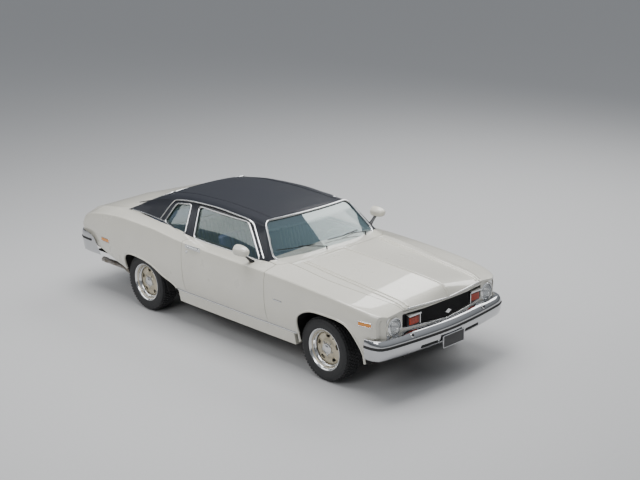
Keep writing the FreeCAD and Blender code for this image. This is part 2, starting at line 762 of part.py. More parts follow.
# The front panel stands between the fenders behind the grille and carries the lamps.
def nose_line(setback):
    """The plan line of the nose, set back by a distance, from the far right to the far left."""
    points = [(x, y + setback) for x, y in NOSE_PLAN]
    return [(-x, y) for x, y in points[:0:-1]] + points


def nose_slab(front, back, z0, z1):
    """A curved slab that follows the nose between two setbacks."""
    return plan_prism(nose_line(front) + nose_line(back)[::-1], z0, z1)


inner_form = body_form(WALL + SEAT)
lamp_half = size("lamp_half")
lamp_z = size("lamp_z")
BACK = Vector(0, 1, 0)
lamp_hole = Part.makeCylinder(size("lamp_radius") + 1, 200, Vector(lamp_half, NOSE + 60, lamp_z), BACK)
grille_half = size("grille_half")
grille_top = size("grille_top")
grille_base = size("grille_base")
GRILLE_OPENING = [
    (-grille_half, grille_base + 30), (0, grille_base), (grille_half, grille_base + 30),
    (grille_half, grille_top - 20), (0, grille_top), (-grille_half, grille_top - 20),
]
front_panel = nose_slab(8, 34, 520, COWL - 168 - GAP).common(inner_form)
front_panel = front_panel.cut(front_prism(GRILLE_OPENING, NOSE - 50, NOSE + 400, [12, 0, 12, 12, 0, 12]))
front_panel = front_panel.cut(lamp_hole).cut(mirrored(lamp_hole))
lamp_y = NOSE + 150
lamp_back = lamp_y + 80
bucket_r = size("lamp_radius") + 12
bucket_front = NOSE + 140
bucket_place = Vector(lamp_half, bucket_front, lamp_z)
hollow_place = Vector(lamp_half, bucket_front - 10, lamp_z)
bucket = Part.makeCylinder(bucket_r, lamp_back + 4 - bucket_front, bucket_place, BACK)
bucket_hollow = Part.makeCylinder(bucket_r - 6, lamp_back - bucket_front + 10, hollow_place, BACK)
bucket = bucket.cut(bucket_hollow).common(inner_form)
bucket = bucket.cut(front_prism(GRILLE_OPENING, NOSE - 50, NOSE + 400))
front_panel = front_panel.fuse([bucket, mirrored(bucket)])
keep("front_panel", front_panel)

# The grille is a frame of fine bars that follows the pointed nose.
grille_space = front_prism(shrunk(GRILLE_OPENING, SEAT), NOSE - 50, NOSE + 400, [12, 0, 12, 12, 0, 12])
grille_frame = nose_slab(12, 40, 500, 900).common(grille_space)
grille_frame = grille_frame.cut(front_prism(shrunk(GRILLE_OPENING, 14), NOSE - 50, NOSE + 400))
grille_back = nose_slab(34, 40, 500, 900).common(grille_space)
bars = nose_slab(20, 36, 500, 900).common(grille_space)
BAR_PITCH = 22
BAR = 6
slots = []
z = grille_base - 10
while z < grille_top:
    slots.append(block(-700, 700, NOSE, NOSE + 300, z + BAR, z + BAR_PITCH))
    z += BAR_PITCH
bars = bars.cut(Part.Compound(slots))
turn_x = size("turn_half")
turn_w = size("turn_width") / 2
turn_h = size("turn_height") / 2
turn_room = (turn_x - turn_w - 2, turn_x + turn_w + 2, NOSE, NOSE + 400, lamp_z - turn_h, lamp_z + turn_h + 2)
turn_box = block(*turn_room)
grille = grille_frame.fuse([grille_back, bars]).cut(turn_box).cut(mirrored(turn_box))
keep("grille", grille)

# The headlamps are sealed round units in bezels; the turn lamps sit in the grille's ends.
lamp_r = size("lamp_radius")
lamp = turned_along([
    (0, 0), (0, -16), (lamp_r * 0.5, -12), (lamp_r - 12, 0), (lamp_r - 10, -14), (lamp_r + 0.5, -10),
    (lamp_r + 0.5, 34), (lamp_r - 20, 80), (0, 80),
])
lamp.translate(Vector(lamp_half, lamp_y, lamp_z))
turn_y = NOSE + 118
turn = block(turn_x - turn_w, turn_x + turn_w, turn_y - 10, turn_y + 60, lamp_z - turn_h, lamp_z + turn_h)
keep("front_lamps", Part.Compound([lamp, mirrored(lamp), turn, mirrored(turn)]))


def bumper(path, profile):
    """A pressed bar along a plan path of (x, y, share), with a channel profile of (depth, z).

    The share says how much of the channel's depth is left where the bar wraps round the body.
    """
    wires = []
    for i, (x, y, share) in enumerate(path):
        before = path[max(i - 1, 0)]
        after = path[min(i + 1, len(path) - 1)]
        run = Vector(after[0] - before[0], after[1] - before[1], 0).normalize()
        out = Vector(run.y, -run.x, 0)
        points = [Vector(x, y, z) + out * d * share for d, z in profile]
        wires.append(Part.makePolygon(points + [points[0]]))
    return Part.makeLoft(wires, True, True)


def whole_path(points):
    """A plan path from one end to the middle, and on to the other end."""
    return points + [(-x, y, share) for x, y, share in points[-2::-1]]


front_path = whole_path([
    (906, -590, 0.3), (902, -680, 0.4), (880, -745, 0.6), (800, -795, 1), (516, -838, 1), (250, -864, 1),
    (0, NOSE, 1),
])
z0, z1 = size("bumper_front_z"), size("bumper_front_top")
front_profile = [
    (-62, z1 - 12), (-30, z1), (-6, z1 - 34), (0, z1 - 46), (0, z1 - 74), (-14, z1 - 84), (-30, z0 + 8),
    (-40, z0), (-46, z0 + 4), (-36, z0 + 12), (-22, z1 - 88), (-9, z1 - 74), (-9, z1 - 46),
    (-32, z1 - 9), (-62, z1 - 18),
]
front_bumper = bumper(front_path, [(-d, z) for d, z in front_profile])
rail_front = -640
bracket = block(364, 398, NOSE + 50, rail_front, size("rail_z") + 30, size("bumper_front_z") + 60)
front_bumper = front_bumper.fuse([bracket, mirrored(bracket)]).cut(block(-700, 700, -780, -600, 519, 1000))
keep("front_bumper", front_bumper)
rear_path = whole_path([
    (-900, TAIL - 470, 0.2), (-898, TAIL - 200, 0.2), (-874, TAIL - 80, 0.4), (-780, TAIL - 30, 1),
    (-400, TAIL - 6, 1), (0, TAIL, 1),
])
z0, z1 = size("bumper_rear_z"), size("bumper_rear_top")
rear_profile = [
    (60, z1 - 8), (26, z1), (6, z1 - 30), (0, z1 - 60), (0, z1 - 96), (8, z1 - 120), (26, z0), (36, z0),
    (18, z1 - 118), (9, z1 - 96), (9, z1 - 60), (14, z1 - 34), (30, z1 - 8), (60, z1 - 16),
]
rear_bumper = bumper(rear_path, rear_profile)
floor_under = size("trunk_floor_z") - size("floor_wall")
rear_bracket = block(360, 400, TAIL - 252, TAIL - 14, floor_under - 40, floor_under)
rear_bracket = rear_bracket.fuse(block(360, 400, TAIL - 60, TAIL - 14, floor_under - 40, z0 + 70))
keep("rear_bumper", rear_bumper.fuse([rear_bracket, mirrored(rear_bracket)]))

# The tail panel closes the body under the deck lid and carries the tail lamps.
tail_line = [(TAIL - 114, 622), (TAIL - 108, 700), (TAIL - 92, 764), (TAIL - 116, 831), (TAIL - 176, 905)]
tail_back = [(y - 28, z) for y, z in tail_line[::-1]]
tail_slab = side_prism(tail_line + tail_back, -FAR, FAR).common(inner_form)
lamp_cut = block(330, 640, TAIL - 300, TAIL, 716, 826)
tail_panel = tail_slab.cut(lamp_cut).cut(mirrored(lamp_cut))
keep("tail_panel", tail_panel)
tail_lamp = side_prism([(y + 8, z) for y, z in tail_line] + [(y + 4, z) for y, z in tail_back], -FAR, FAR)
tail_lamp = tail_lamp.common(block(330 + SEAT, 640 - SEAT, TAIL - 300, TAIL, 716 + SEAT, 826 - SEAT))
keep("tail_lamps", both(tail_lamp))

# The floor runs from the toe board over the tunnel and the seat step to the trunk.
floor_z = size("floor_z")
floor_wall = size("floor_wall")
trunk_z = size("trunk_floor_z")
floor_line = [
    (704, 420), (760, 330), (860, floor_z), (2400, floor_z), (2500, trunk_z), (TAIL - 170, trunk_z),
]
floor_profile = floor_line + [(y, z - floor_wall) for y, z in floor_line[::-1]]
floor_solid = side_prism(floor_profile, -SILL_INNER, SILL_INNER)
rear_wheel_room = block(599.6, 800, 2426, 3168, 200, 700)
tunnel = side_body("tunnel_form", [
    ("706", "tunnel_top + 20"), ("1200", "tunnel_top - 60"), ("2475", "tunnel_top - 20"),
    ("2475", "floor_z + 130"), ("2400", "floor_z - 5"), ("706", "floor_z - 5"),
], "2 * tunnel_half")
tunnel_room = from_axle(tunnel)
tunnel_top = size("tunnel_top")
hollow_half = size("tunnel_half") - 12
hollow_line = [(690, 430), (1200, tunnel_top - 74), (2540, tunnel_top - 34), (2540, 200), (690, 200)]
tunnel_hollow = side_prism(hollow_line, -hollow_half, hollow_half)
floor_solid = floor_solid.fuse(tunnel_room).cut(tunnel_hollow)
floor_solid = floor_solid.cut(rear_wheel_room).cut(mirrored(rear_wheel_room))
keep("floor_pan", floor_solid.common(body_form(WALL + 2).fuse(block(-FAR, FAR, 600, 2460, 200, 500))))

# A sill closes the body's side below each door.
sill = outer.common(block(SILL_INNER, FAR, 388, 2190, size("sill_base") + 1, SILL_TOP - GAP))
keep("sills", both(sill))

# Wheelhouses line the arches; the front ones leave room for the steered tyres.
LINER = 8
FRONT_LINER = ARCH_FRONT[:11] + [(240, 660), (322, 600), (362, 530), (378, 450), (378, 300)]
front_space = side_prism(FRONT_LINER, 474, FAR)
front_liner = side_prism(grown(FRONT_LINER, LINER), 466, FAR).cut(front_space)
front_liner = front_liner.common(block(0, FAR, -700, 700, 300, 900))
front_liner = front_liner.common(body_form(WALL + 1)).cut(block(460, 480, -170, 170, 200, 400))
REAR_LINER = [
    (2440, 300), (2440, 480), (2490, 600), (2600, 660), (2819, 684), (3030, 664), (3112, 606),
    (3146, 530), (3152, 470), (3152, 300),
]
rear_space = side_prism(REAR_LINER, 608, FAR)
rear_liner = side_prism(grown(REAR_LINER, LINER), 600, FAR).cut(rear_space)
rear_liner = rear_liner.common(block(0, FAR, 2300, 3300, 300, 900))
side_wall = block(738, 746, 2196, 2440, 300, 640)
rear_liner = rear_liner.cut(block(590, 620, WHEELBASE - 70, WHEELBASE + 70, 200, 390))
rear_liner = rear_liner.fuse(side_wall).common(body_form(WALL + 1))
keep("wheelhouses", Part.Compound([front_liner, mirrored(front_liner), rear_liner, mirrored(rear_liner)]))

# The parcel shelf and the bulkhead under it divide the cabin from the trunk.
shelf_line = [(2560, trunk_z), (2720, 925), (3250, 965)]
shelf = side_prism(shelf_line + [(y, z - 10) for y, z in shelf_line[:0:-1]] + [(2572, trunk_z)], -590, 590)
keep("parcel_shelf", shelf.common(body_form(WALL + 1)))

# Front bench with a leaned back, and the rear bench against the bulkhead.
CUSHION_TOP = "seat_base_z + cushion_height"
BACK_TOP = CUSHION_TOP + " + back_height"
bench_cushion = side_body("bench_cushion", [
    ("front_seat_y - 150", "seat_base_z"), ("front_seat_y + 330", "seat_base_z - 20"),
    ("front_seat_y - 160 + cushion_depth", CUSHION_TOP + " - 40"), ("front_seat_y - 160", CUSHION_TOP),
], "seat_width", "40")
bench_back = side_body("bench_back", [
    ("front_seat_y + 290", "seat_base_z + 20"), ("front_seat_y + 290 + back_thick", "seat_base_z"),
    ("front_seat_y + 410 + back_thick", BACK_TOP + " - 10"), ("front_seat_y + 430", BACK_TOP),
    ("front_seat_y + 280", CUSHION_TOP),
], "seat_width", "20")
RAIL_RUN = ("front_seat_y - 60", "front_seat_y + 300")
RAIL_RISE = ("floor_z", "seat_base_z + 10")
bench_rails = [
    tied_block("bench_rail_left", ("300", "340"), RAIL_RUN, RAIL_RISE),
    tied_block("bench_rail_right", ("-340", "-300"), RAIL_RUN, RAIL_RISE),
]
bench = joined("bench", [bench_cushion, bench_back] + bench_rails)
keep_piece("front_seat", less("front_seat", bench, tunnel))
back_cushion = side_body("rear_bench_cushion", [
    ("rear_seat_y", "floor_z"), ("rear_seat_y + 300", "floor_z"), ("rear_seat_y + 420", "trunk_floor_z + 4"),
    ("rear_seat_y + 440", "500"), ("rear_seat_y - 10", "520"),
], "rear_seat_width", "5")
back_rest = side_body("rear_bench_back", [
    ("rear_seat_y + 400", "trunk_floor_z + 6"), ("rear_seat_y + 462", "trunk_floor_z + 6"),
    ("rear_seat_y + 626", "920"), ("rear_seat_y + 560", "955"), ("rear_seat_y + 500", "940"),
    ("rear_seat_y + 380", "520"),
], "rear_seat_width", "5")
rear_bench = joined("rear_bench", [back_cushion, back_rest])
keep_piece("rear_seat", less("rear_seat", rear_bench, tunnel))

# Dashboard, steering column and wheel.
cabin_form = doc.addObject("Part::Feature", "cabin_form")
cabin_form.Shape = body_form(WALL + 1)
cabin_form.Placement = Placement(Vector(0, SHIFT, 0), Rotation())
dash_pad = side_body("dash_pad", [
    ("704", "cowl_z - 85"), ("704", "cowl_z - 40"), ("1000", "cowl_z - 35"), ("1050", "cowl_z - 80"),
    ("1040", "cowl_z - 245"), ("940", "cowl_z - 325"), ("850", "cowl_z - 305"), ("790", "cowl_z - 185"),
], "seat_width + 2 * (seat_side_room - dash_clear)", "12")
dashboard = doc.addObject("Part::Common", "dashboard")
dashboard.Base = dash_pad
dashboard.Tool = cabin_form
keep_piece("dashboard", dashboard)
dash = from_axle(dashboard)
wheel_mid = Vector(370, 1170, 846)
column_run = Vector(0, -0.92, -0.39).normalize()
grip = size("steering_wheel_grip")
grip_r = size("steering_wheel_radius")
grip_points = []
for k in range(6):
    turn_angle = math.pi * (k + 0.5) / 3
    grip_points.append(Vector(grip_r + grip * math.cos(turn_angle), 0, grip * math.sin(turn_angle)))
grip_face = Part.Face(Part.makePolygon(grip_points + [grip_points[0]]))
rim = grip_face.revolve(Vector(0, 0, 0), Vector(0, 0, 1), 360)
rim.Placement = Placement(wheel_mid, Rotation(Vector(0, 0, 1), column_run))
spokes = [rod(wheel_mid - Vector(grip_r, 0, 0), wheel_mid + Vector(grip_r, 0, 0), 10)]
column = rod(wheel_mid, wheel_mid + column_run * 130, 30)
steering = rim.fuse(spokes + [column]).cut(dash)
keep("steering_wheel", steering)


def on_windshield(x, z, lift):
    """A point in front of the windshield at the given height, lifted off the glass."""
    up = (z - 1000) / 300
    across = x / (735 - 135 * up)
    middle = 700 + 360 * up
    y = middle + (172 - 122 * up) * across * across
    return Vector(x, y - lift, z + lift)


wipers = []
for pivot_x, tip_x in ((500, -60), (-130, -640)):
    pivot = on_windshield(pivot_x, 1004, 26)
    pivot.y = max(pivot.y, HOOD_REAR_MID + 0.13 * abs(pivot_x) + GAP + 30)
    mid = on_windshield((pivot_x + tip_x) / 2, 1048, 22)
    tip = on_windshield(tip_x, 1050, 16)
    start = on_windshield(pivot_x - 90, 1046, 14)
    middle = on_windshield((pivot_x - 90 + tip_x) / 2, 1046, 14)
    blade = bar(start, middle, 4).fuse([bar(middle, tip, 4), bar(mid, middle, 4)])
    post = Part.makeCylinder(7, pivot.z + 4 - (COWL - 20), Vector(pivot.x, pivot.y, COWL - 20))
    arm = bar(pivot, mid, 4).fuse([blade, post])
    wipers.append(arm.cut(roof_outer).cut(outer))
keep("wipers", Part.Compound([max(w.Solids, key=lambda solid: solid.Volume) for w in wipers]))

# Chassis: front rails and crossmember with lower arms, engine, radiator, rear axle, exhaust and tank.
wheel_x = size("track") / 2
KINGPIN = "track / 2 - kingpin_inset"
RAIL_IN = "rail_half - rail_width / 2"
RAIL_OUT = "rail_half + rail_width / 2"
RAIL_TOP = "rail_z + rail_height"


def pair(name, x, y, z):
    """A block on the driver's side and its twin across the car."""
    low, high = x
    left = tied_block(name + "_left", (low, high), y, z)
    right = tied_block(name + "_right", (f"-({high})", f"-({low})"), y, z)
    return [left, right]


MEMBER_RISE = ("rail_z - 78", "rail_z + 2")
crossmember = tied_block("crossmember", ("-rail_half", "rail_half"), ("-70", "70"), MEMBER_RISE)
rails = pair("rail", (RAIL_IN, RAIL_OUT), (str(rail_front), "704"), ("rail_z", RAIL_TOP))
arm_blocks = pair("arm_mount", (RAIL_IN, "rail_half + 10"), ("-150", "150"), ("arm_z", "rail_z + 1"))
spring_seats = pair("spring_seat", ("rail_half", "500"), ("-50", "50"), ("330", "388"))
arm_body = doc.addObject("PartDesign::Body", "arm_plan")
arm_pad = arm_body.newObject("PartDesign::Pad", "arm_plate")
arm_pad.Profile = outline_sketch(arm_body, "XY_Plane", "arm_outline", [
    ("rail_half - 10", "-150"), ("600", "-36"), (KINGPIN, "-20"), (KINGPIN, "20"), ("600", "36"),
    ("rail_half - 10", "150"),
])
arm_pad.setExpression("Length", worded("arm_thick"))
tie_place(arm_body, "0", "0", "arm_z")
arm_eye = tied_rod("arm_eye", "20", "arm_thick", (KINGPIN, "0", "arm_z"), Vector(0, 0, 1))
coil = tied_rod("coil_spring", "46", "214", ("530", "0", "170"), Vector(-40, 0, 210))
left_suspension = joined("suspension_left", [arm_body, arm_eye, coil])
right_suspension = reflected("suspension_right", left_suspension)
subframe_parts = [crossmember] + rails + arm_blocks + spring_seats
subframe_parts += [left_suspension, right_suspension]
keep_piece("front_subframe", joined("front_subframe", subframe_parts))

ENGINE_BASE = RAIL_TOP + " + 2"
engine_parts = [
    tied_block("engine_block", ("-engine_width / 2", "engine_width / 2"), ("-20", "engine_length - 20"),
               (ENGINE_BASE, ENGINE_BASE + " + engine_height")),
    tied_block("oil_pan", ("-130", "130"), ("80", "600"), ("230", ENGINE_BASE + " + 1")),
    tied_block("gearbox", ("-100", "100"), ("560", "1000"), ("232", "336")),
]
engine_parts += pair("engine_mount", ("200", "260"), ("-20", "60"), ("rail_z + 2", ENGINE_BASE + " + 1"))
keep_piece("engine", less("engine", joined("engine_blank", engine_parts), crossmember))
radiator_parts = [
    tied_block("radiator_core", ("-330", "330"), ("-600", "-545"), ("400", "850")),
    tied_block("radiator_support", ("-640", "640"), ("-612", "-600"), (RAIL_TOP, "868")),
]
radiator = doc.addObject("Part::Common", "radiator")
radiator.Base = joined("radiator_blank", radiator_parts)
radiator.Tool = cabin_form
keep_piece("radiator", radiator)

SHAFT = "hub_bore - hub_play"
DRUM_OUT = "track / 2 - hub_back - 4"
TRACK_END = "track / 2 - 5"
AXLE = ("wheelbase", "tyre_radius")
ACROSS = Vector(1, 0, 0)
leaf = side_body("leaf_spring", [
    ("2230", "228"), ("2400", "228"), ("2430", "227"), ("2520", "240"), ("wheelbase", "254"),
    ("3140", "262"), ("3420", "300"), ("3420", "326"), ("3140", "288"), ("wheelbase", "280"),
    ("2520", "266"), ("2430", "253"), ("2400", "254"), ("2230", "254"),
], "spring_width")
leaf.setExpression("Placement.Base.x", worded("spring_half"))
other_leaf = reflected("leaf_spring_right", leaf)
SPRING_IN = "spring_half - spring_width / 2"
SPRING_OUT = "spring_half + spring_width / 2"
shackles = pair("shackle", (SPRING_IN, SPRING_OUT), ("3396", "3420"), ("310", "trunk_floor_z - floor_wall"))
axle_parts = [
    tied_rod("half_shafts", SHAFT, f"2 * ({TRACK_END})", (f"-({TRACK_END})", *AXLE), ACROSS),
    tied_rod("axle_tube", "axle_tube_radius", "1400", ("-700", *AXLE), ACROSS),
    tied_rod("differential", "diff_radius", "180", ("-90", *AXLE), ACROSS),
    tied_rod("drum_left", "disc_radius", "46", (f"{DRUM_OUT} - 46", *AXLE), ACROSS),
    tied_rod("drum_right", "disc_radius", "46", (f"-({DRUM_OUT})", *AXLE), ACROSS),
    leaf, other_leaf,
]
both_springs = joined("springs", [leaf, other_leaf])
pinion_run = Vector(0, 2560 - WHEELBASE + 60, -2)
pinion_place = ("0", "wheelbase - 60", "tyre_radius")
axle_parts.append(tied_rod("pinion_housing", "62", "200", pinion_place, pinion_run))
shaft_run = Vector(0, -1569, -30)
axle_parts.append(tied_rod("drive_shaft", "34", "1569.3", ("0", "2570", "316"), shaft_run))
keep_piece("rear_axle", joined("rear_axle", axle_parts + shackles))

pipe_r = size("pipe_radius")
pipe_points = [Vector(-180, 640, 215), Vector(-300, 800, 205), Vector(-300, 2250, 205)]
pipe_points += [Vector(-330, 2480, 215), Vector(-330, 3180, 205)]
muffler = rod(Vector(-300, 1500, 184), Vector(-300, 2050, 184), 68)
pipe_points += [Vector(-640, 3290, 212), Vector(-640, 3500, 290), Vector(-640, TAIL - 120, 290)]
tip_r = pipe_r + 3
tip = rod(Vector(-640, TAIL - 190, 290), Vector(-640, TAIL - 120, 290), tip_r)
muffler_hanger = block(-312, -288, 1700, 1730, 240, floor_z - floor_wall)
tail_hanger = block(-650, -630, 3600, 3620, 300, trunk_z - floor_wall)
exhaust = bent_pipe(pipe_points, pipe_r).fuse([muffler, tip, muffler_hanger, tail_hanger])
pipe_bore = rod(Vector(-640, TAIL - 320, 290), Vector(-640, TAIL - 100, 290), pipe_r - size("pipe_wall"))
exhaust = exhaust.cut(pipe_bore)
keep("exhaust", exhaust)
TANK_TOP = "trunk_floor_z - floor_wall"
tank_block = tied_block("tank_block", ("-tank_width / 2", "tank_width / 2"), ("3240", "3240 + tank_length"),
                        (TANK_TOP + " - tank_height", TANK_TOP))
doc.recompute()
tank = doc.addObject("Part::Fillet", "tank_edges")
tank.Base = tank_block
TANK_CORNER = 40
tank.Edges = [(i, TANK_CORNER, TANK_CORNER) for i, edge in enumerate(tank_block.Shape.Edges, start=1)
              if abs(edge.tangentAt(edge.FirstParameter).z) > 0.9]
keep_piece("fuel_tank", less("fuel_tank", tank, both_springs))

# Steering knuckles with brake discs.
DISC_OUT = "track / 2 - hub_back - 1"
DISC_IN = DISC_OUT + " - disc_thick"
SPINDLE_IN = KINGPIN + " - 10"
STUD_FOOT = "arm_z + arm_thick + 0.3"
UPRIGHT_RISE = ("214", "tyre_radius + 90")
knuckle_parts = [
    tied_block("upright", (SPINDLE_IN + " - 20", DISC_IN + " + 1"), ("-32", "32"), UPRIGHT_RISE),
    tied_rod("ball_stud", "16", f"tyre_radius - ({STUD_FOOT})", (KINGPIN, "0", STUD_FOOT), Vector(0, 0, 1)),
    tied_rod("brake_disc", "disc_radius", "disc_thick", (DISC_IN, "0", "tyre_radius"), ACROSS),
    tied_rod("spindle", SHAFT, f"{TRACK_END} - ({SPINDLE_IN})", (SPINDLE_IN, "0", "tyre_radius"), ACROSS),
]
knuckle = keep_piece("knuckle_left", joined("knuckle_left", knuckle_parts))
keep_piece("knuckle_right", reflected("knuckle_right", knuckle))

# The wheel is a dished disc inside a barrel with a wide sloped ring. Rounded slots are cut
# through the disc and repeated round the hub. The tyre is turned on the same axis.
HALF_RIM = "rim_width / 2"
HALF_TYRE = "tyre_width / 2"
WHEEL_OUTLINE = [
    ("-hub_back", "hub_bore"), ("-hub_back", "62"), ("disc_back", "62"), ("disc_back", "rim_radius"),
    ("-" + HALF_RIM, "rim_radius"), ("-" + HALF_RIM, "barrel_radius"), (HALF_RIM, "barrel_radius"),
    (HALF_RIM + " + ring_edge", "barrel_radius - ring_edge"), (HALF_RIM + " - 16", "rim_radius - 2"),
    ("disc_front", "rim_radius - 10"), ("disc_front", "cap_radius + 12"), ("disc_front + 28", "cap_radius"),
    ("disc_front + 34", "0"), ("0", "0"), ("0", "hub_bore"),
]
TYRE_OUTLINE = [
    (HALF_TYRE, "barrel_radius + seat_clear"), (HALF_TYRE, "tyre_radius - shoulder_drop"),
    (HALF_TYRE + " - shoulder_drop", "tyre_radius"), ("shoulder_drop - " + HALF_TYRE, "tyre_radius"),
    ("-" + HALF_TYRE, "tyre_radius - shoulder_drop"), ("-" + HALF_TYRE, "barrel_radius + seat_clear"),
]
SLOT_END = "slot_length / 2"
SLOT_SIDE = "slot_width / 2"
CORNER = "slot_width * 0.3"
SLOT_OUTLINE = [
    (f"{across}({SLOT_END}{inset_x})", f"slot_pitch {up} ({SLOT_SIDE}{inset_z})")
    for across, up, inset_x, inset_z in (
        ("-", "-", "", f" - {CORNER}"), ("-", "-", f" - {CORNER}", ""), ("", "-", f" - {CORNER}", ""),
        ("", "-", "", f" - {CORNER}"), ("", "+", "", f" - {CORNER}"), ("", "+", f" - {CORNER}", ""),
        ("-", "+", f" - {CORNER}", ""), ("-", "+", "", f" - {CORNER}"))
]
for where, along in (("front", "0"), ("rear", "wheelbase")):
    for hand, sign, turn in (("left", "", 0), ("right", "-", 180)):
        wheel = turned_body(f"wheel_{where}_{hand}", WHEEL_OUTLINE)
        pattern_cut(wheel, f"slots_{where}_{hand}", SLOT_OUTLINE, "slot_count")
        tyre = turned_body(f"tyre_{where}_{hand}", TYRE_OUTLINE)
        for kind, body in (("wheel", wheel), ("tyre", tyre)):
            body.Placement = Placement(Vector(), Rotation(Vector(0, 0, 1), turn))
            tie_place(body, f"{sign}track / 2", along, "tyre_radius")
            keep_piece(f"{kind}_{where}_{hand}", body)

doc.recompute()
for piece in doc.Objects:
    if "Invalid" in piece.State or "Error" in piece.State:
        raise RuntimeError(f"{piece.Name} did not build")
shapes = {}
for name, piece in nodes.items():
    shape = piece.Shape
    if shape.isNull() or not shape.isValid():
        raise RuntimeError(f"{name} has no valid shape")
    shapes[name] = shape.Solids[0] if len(shape.Solids) == 1 else shape
os.makedirs("parts", exist_ok=True)
for name, shape in shapes.items():
    shape.exportStep(f"parts/{name}.step")
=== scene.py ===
import bmesh
import bpy
import math
from mathutils import Matrix, Vector


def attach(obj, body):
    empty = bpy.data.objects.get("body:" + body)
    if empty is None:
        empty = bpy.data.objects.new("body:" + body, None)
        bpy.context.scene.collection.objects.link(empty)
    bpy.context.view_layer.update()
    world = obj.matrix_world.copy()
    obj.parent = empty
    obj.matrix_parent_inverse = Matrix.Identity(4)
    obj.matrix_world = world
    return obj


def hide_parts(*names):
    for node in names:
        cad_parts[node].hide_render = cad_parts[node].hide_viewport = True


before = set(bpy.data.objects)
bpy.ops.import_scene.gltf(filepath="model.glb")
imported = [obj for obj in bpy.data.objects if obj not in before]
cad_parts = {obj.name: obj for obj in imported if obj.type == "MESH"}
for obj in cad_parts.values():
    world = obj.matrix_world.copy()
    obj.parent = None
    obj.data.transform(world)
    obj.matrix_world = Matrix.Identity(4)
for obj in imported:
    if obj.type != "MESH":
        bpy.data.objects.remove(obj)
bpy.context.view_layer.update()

# The view: the car is seen from ahead of its right front corner, from well above its roof,
# with the frame set as the photograph's. Places are written as the car's own measures,
# in millimetres across, back from the front axle and up from the ground.
CAR_MIDDLE = 1587


def at(x, y, z):
    return Vector((x / 1000, (y - CAR_MIDDLE) / 1000, z / 1000))


camera_data = bpy.data.cameras.new("camera")
camera = bpy.data.objects.new("camera", camera_data)
bpy.context.scene.collection.objects.link(camera)
bpy.context.scene.camera = camera
camera_data.sensor_width = 36
camera_data.lens = 66.588
camera_data.shift_x = -0.1161
camera_data.shift_y = 0.0443
camera_data.clip_end = 100
camera.location = (-7.9145, -9.1250, 4.6018)
look = Vector((0.69141, 0.64813, -0.31920))
camera.rotation_mode = "QUATERNION"
camera.rotation_quaternion = look.to_track_quat("-Z", "Y")


def preset(node, **values):
    """Sets a node's inputs by their names, with _ for a blank."""
    for key, value in values.items():
        node.inputs[key.replace("_", " ")].default_value = value


def node_material(name, colour, roughness=0.5, metallic=0.0, **sockets):
    """A Principled material; what varies over its surface is added by the section that owns it."""
    mat = bpy.data.materials.new(name)
    mat.use_nodes = True
    preset(mat.node_tree.nodes["Principled BSDF"], Base_Color=(*colour, 1), Roughness=roughness,
           Metallic=metallic, **sockets)
    return mat


def wire(tree, *runs):
    """Links nodes of a tree; each run is (node, its output, next node, its input)."""
    for node, out, following, into in runs:
        tree.links.new(node.outputs[out], following.inputs[into])


def effect_group(name, pattern_kind, value):
    """A shared effect: a noise or a cell pattern in object space that gives a mixed colour,
    a roughness and a bumped normal."""
    tree = bpy.data.node_groups.new(name, "ShaderNodeTree")
    face = tree.interface
    for label, default in (("Scale", 20.0), ("Detail", 4.0), ("Stretch", 1.0), ("Low", 0.0), ("High", 1.0),
                           ("Rough Low", 0.3), ("Rough High", 0.5), ("Bump", 0.1), ("Depth", 0.001)):
        face.new_socket(label, in_out="INPUT", socket_type="NodeSocketFloat").default_value = default
    for label in ("Colour A", "Colour B"):
        face.new_socket(label, in_out="INPUT", socket_type="NodeSocketColor")
    for label, kind in (("Colour", "Color"), ("Roughness", "Float"), ("Normal", "Vector")):
        face.new_socket(label, in_out="OUTPUT", socket_type="NodeSocket" + kind)
    kinds = ("NodeGroupInput", "NodeGroupOutput", "ShaderNodeTexCoord", "ShaderNodeVectorMath",
             "ShaderNodeCombineXYZ", pattern_kind, "ShaderNodeMapRange", "ShaderNodeMix",
             "ShaderNodeMapRange", "ShaderNodeBump")
    given, out, place, spread, axes, pattern, ramp, mix, rough, bump = (tree.nodes.new(kind)
                                                                        for kind in kinds)
    spread.operation = "MULTIPLY"
    axes.inputs[0].default_value = axes.inputs[1].default_value = 1
    mix.data_type = "RGBA"
    if pattern_kind == "ShaderNodeTexNoise":
        wire(tree, (given, "Detail", pattern, "Detail"))
    wire(tree, (given, "Stretch", axes, 2), (place, "Object", spread, 0), (axes, 0, spread, 1),
         (spread, 0, pattern, "Vector"), (given, "Scale", pattern, "Scale"), (pattern, value, ramp, "Value"),
         (given, "Low", ramp, "From Min"), (given, "High", ramp, "From Max"), (ramp, 0, mix, "Factor"),
         (given, "Colour A", mix, 6), (given, "Colour B", mix, 7), (mix, 2, out, "Colour"),
         (ramp, 0, rough, "Value"), (given, "Rough Low", rough, "To Min"),
         (given, "Rough High", rough, "To Max"), (rough, 0, out, "Roughness"),
         (given, "Bump", bump, "Strength"), (given, "Depth", bump, "Distance"), (ramp, 0, bump, "Height"),
         (bump, 0, out, "Normal"))
    return tree


GRAIN = effect_group("surface_grain", "ShaderNodeTexNoise", "Fac")
PEBBLE = effect_group("pebbled_hide", "ShaderNodeTexVoronoi", "Distance")


def textured(mat, group, colour_a, colour_b, **values):
    """Adds one shared effect to a material, with its own values."""
    tree = mat.node_tree
    node = tree.nodes.new("ShaderNodeGroup")
    node.node_tree = group
    preset(node, Colour_A=(*colour_a, 1), Colour_B=(*colour_b, 1), **values)
    shader = tree.nodes["Principled BSDF"]
    wire(tree, (node, "Colour", shader, "Base Color"), (node, "Roughness", shader, "Roughness"),
         (node, "Normal", shader, "Normal"))
    return mat


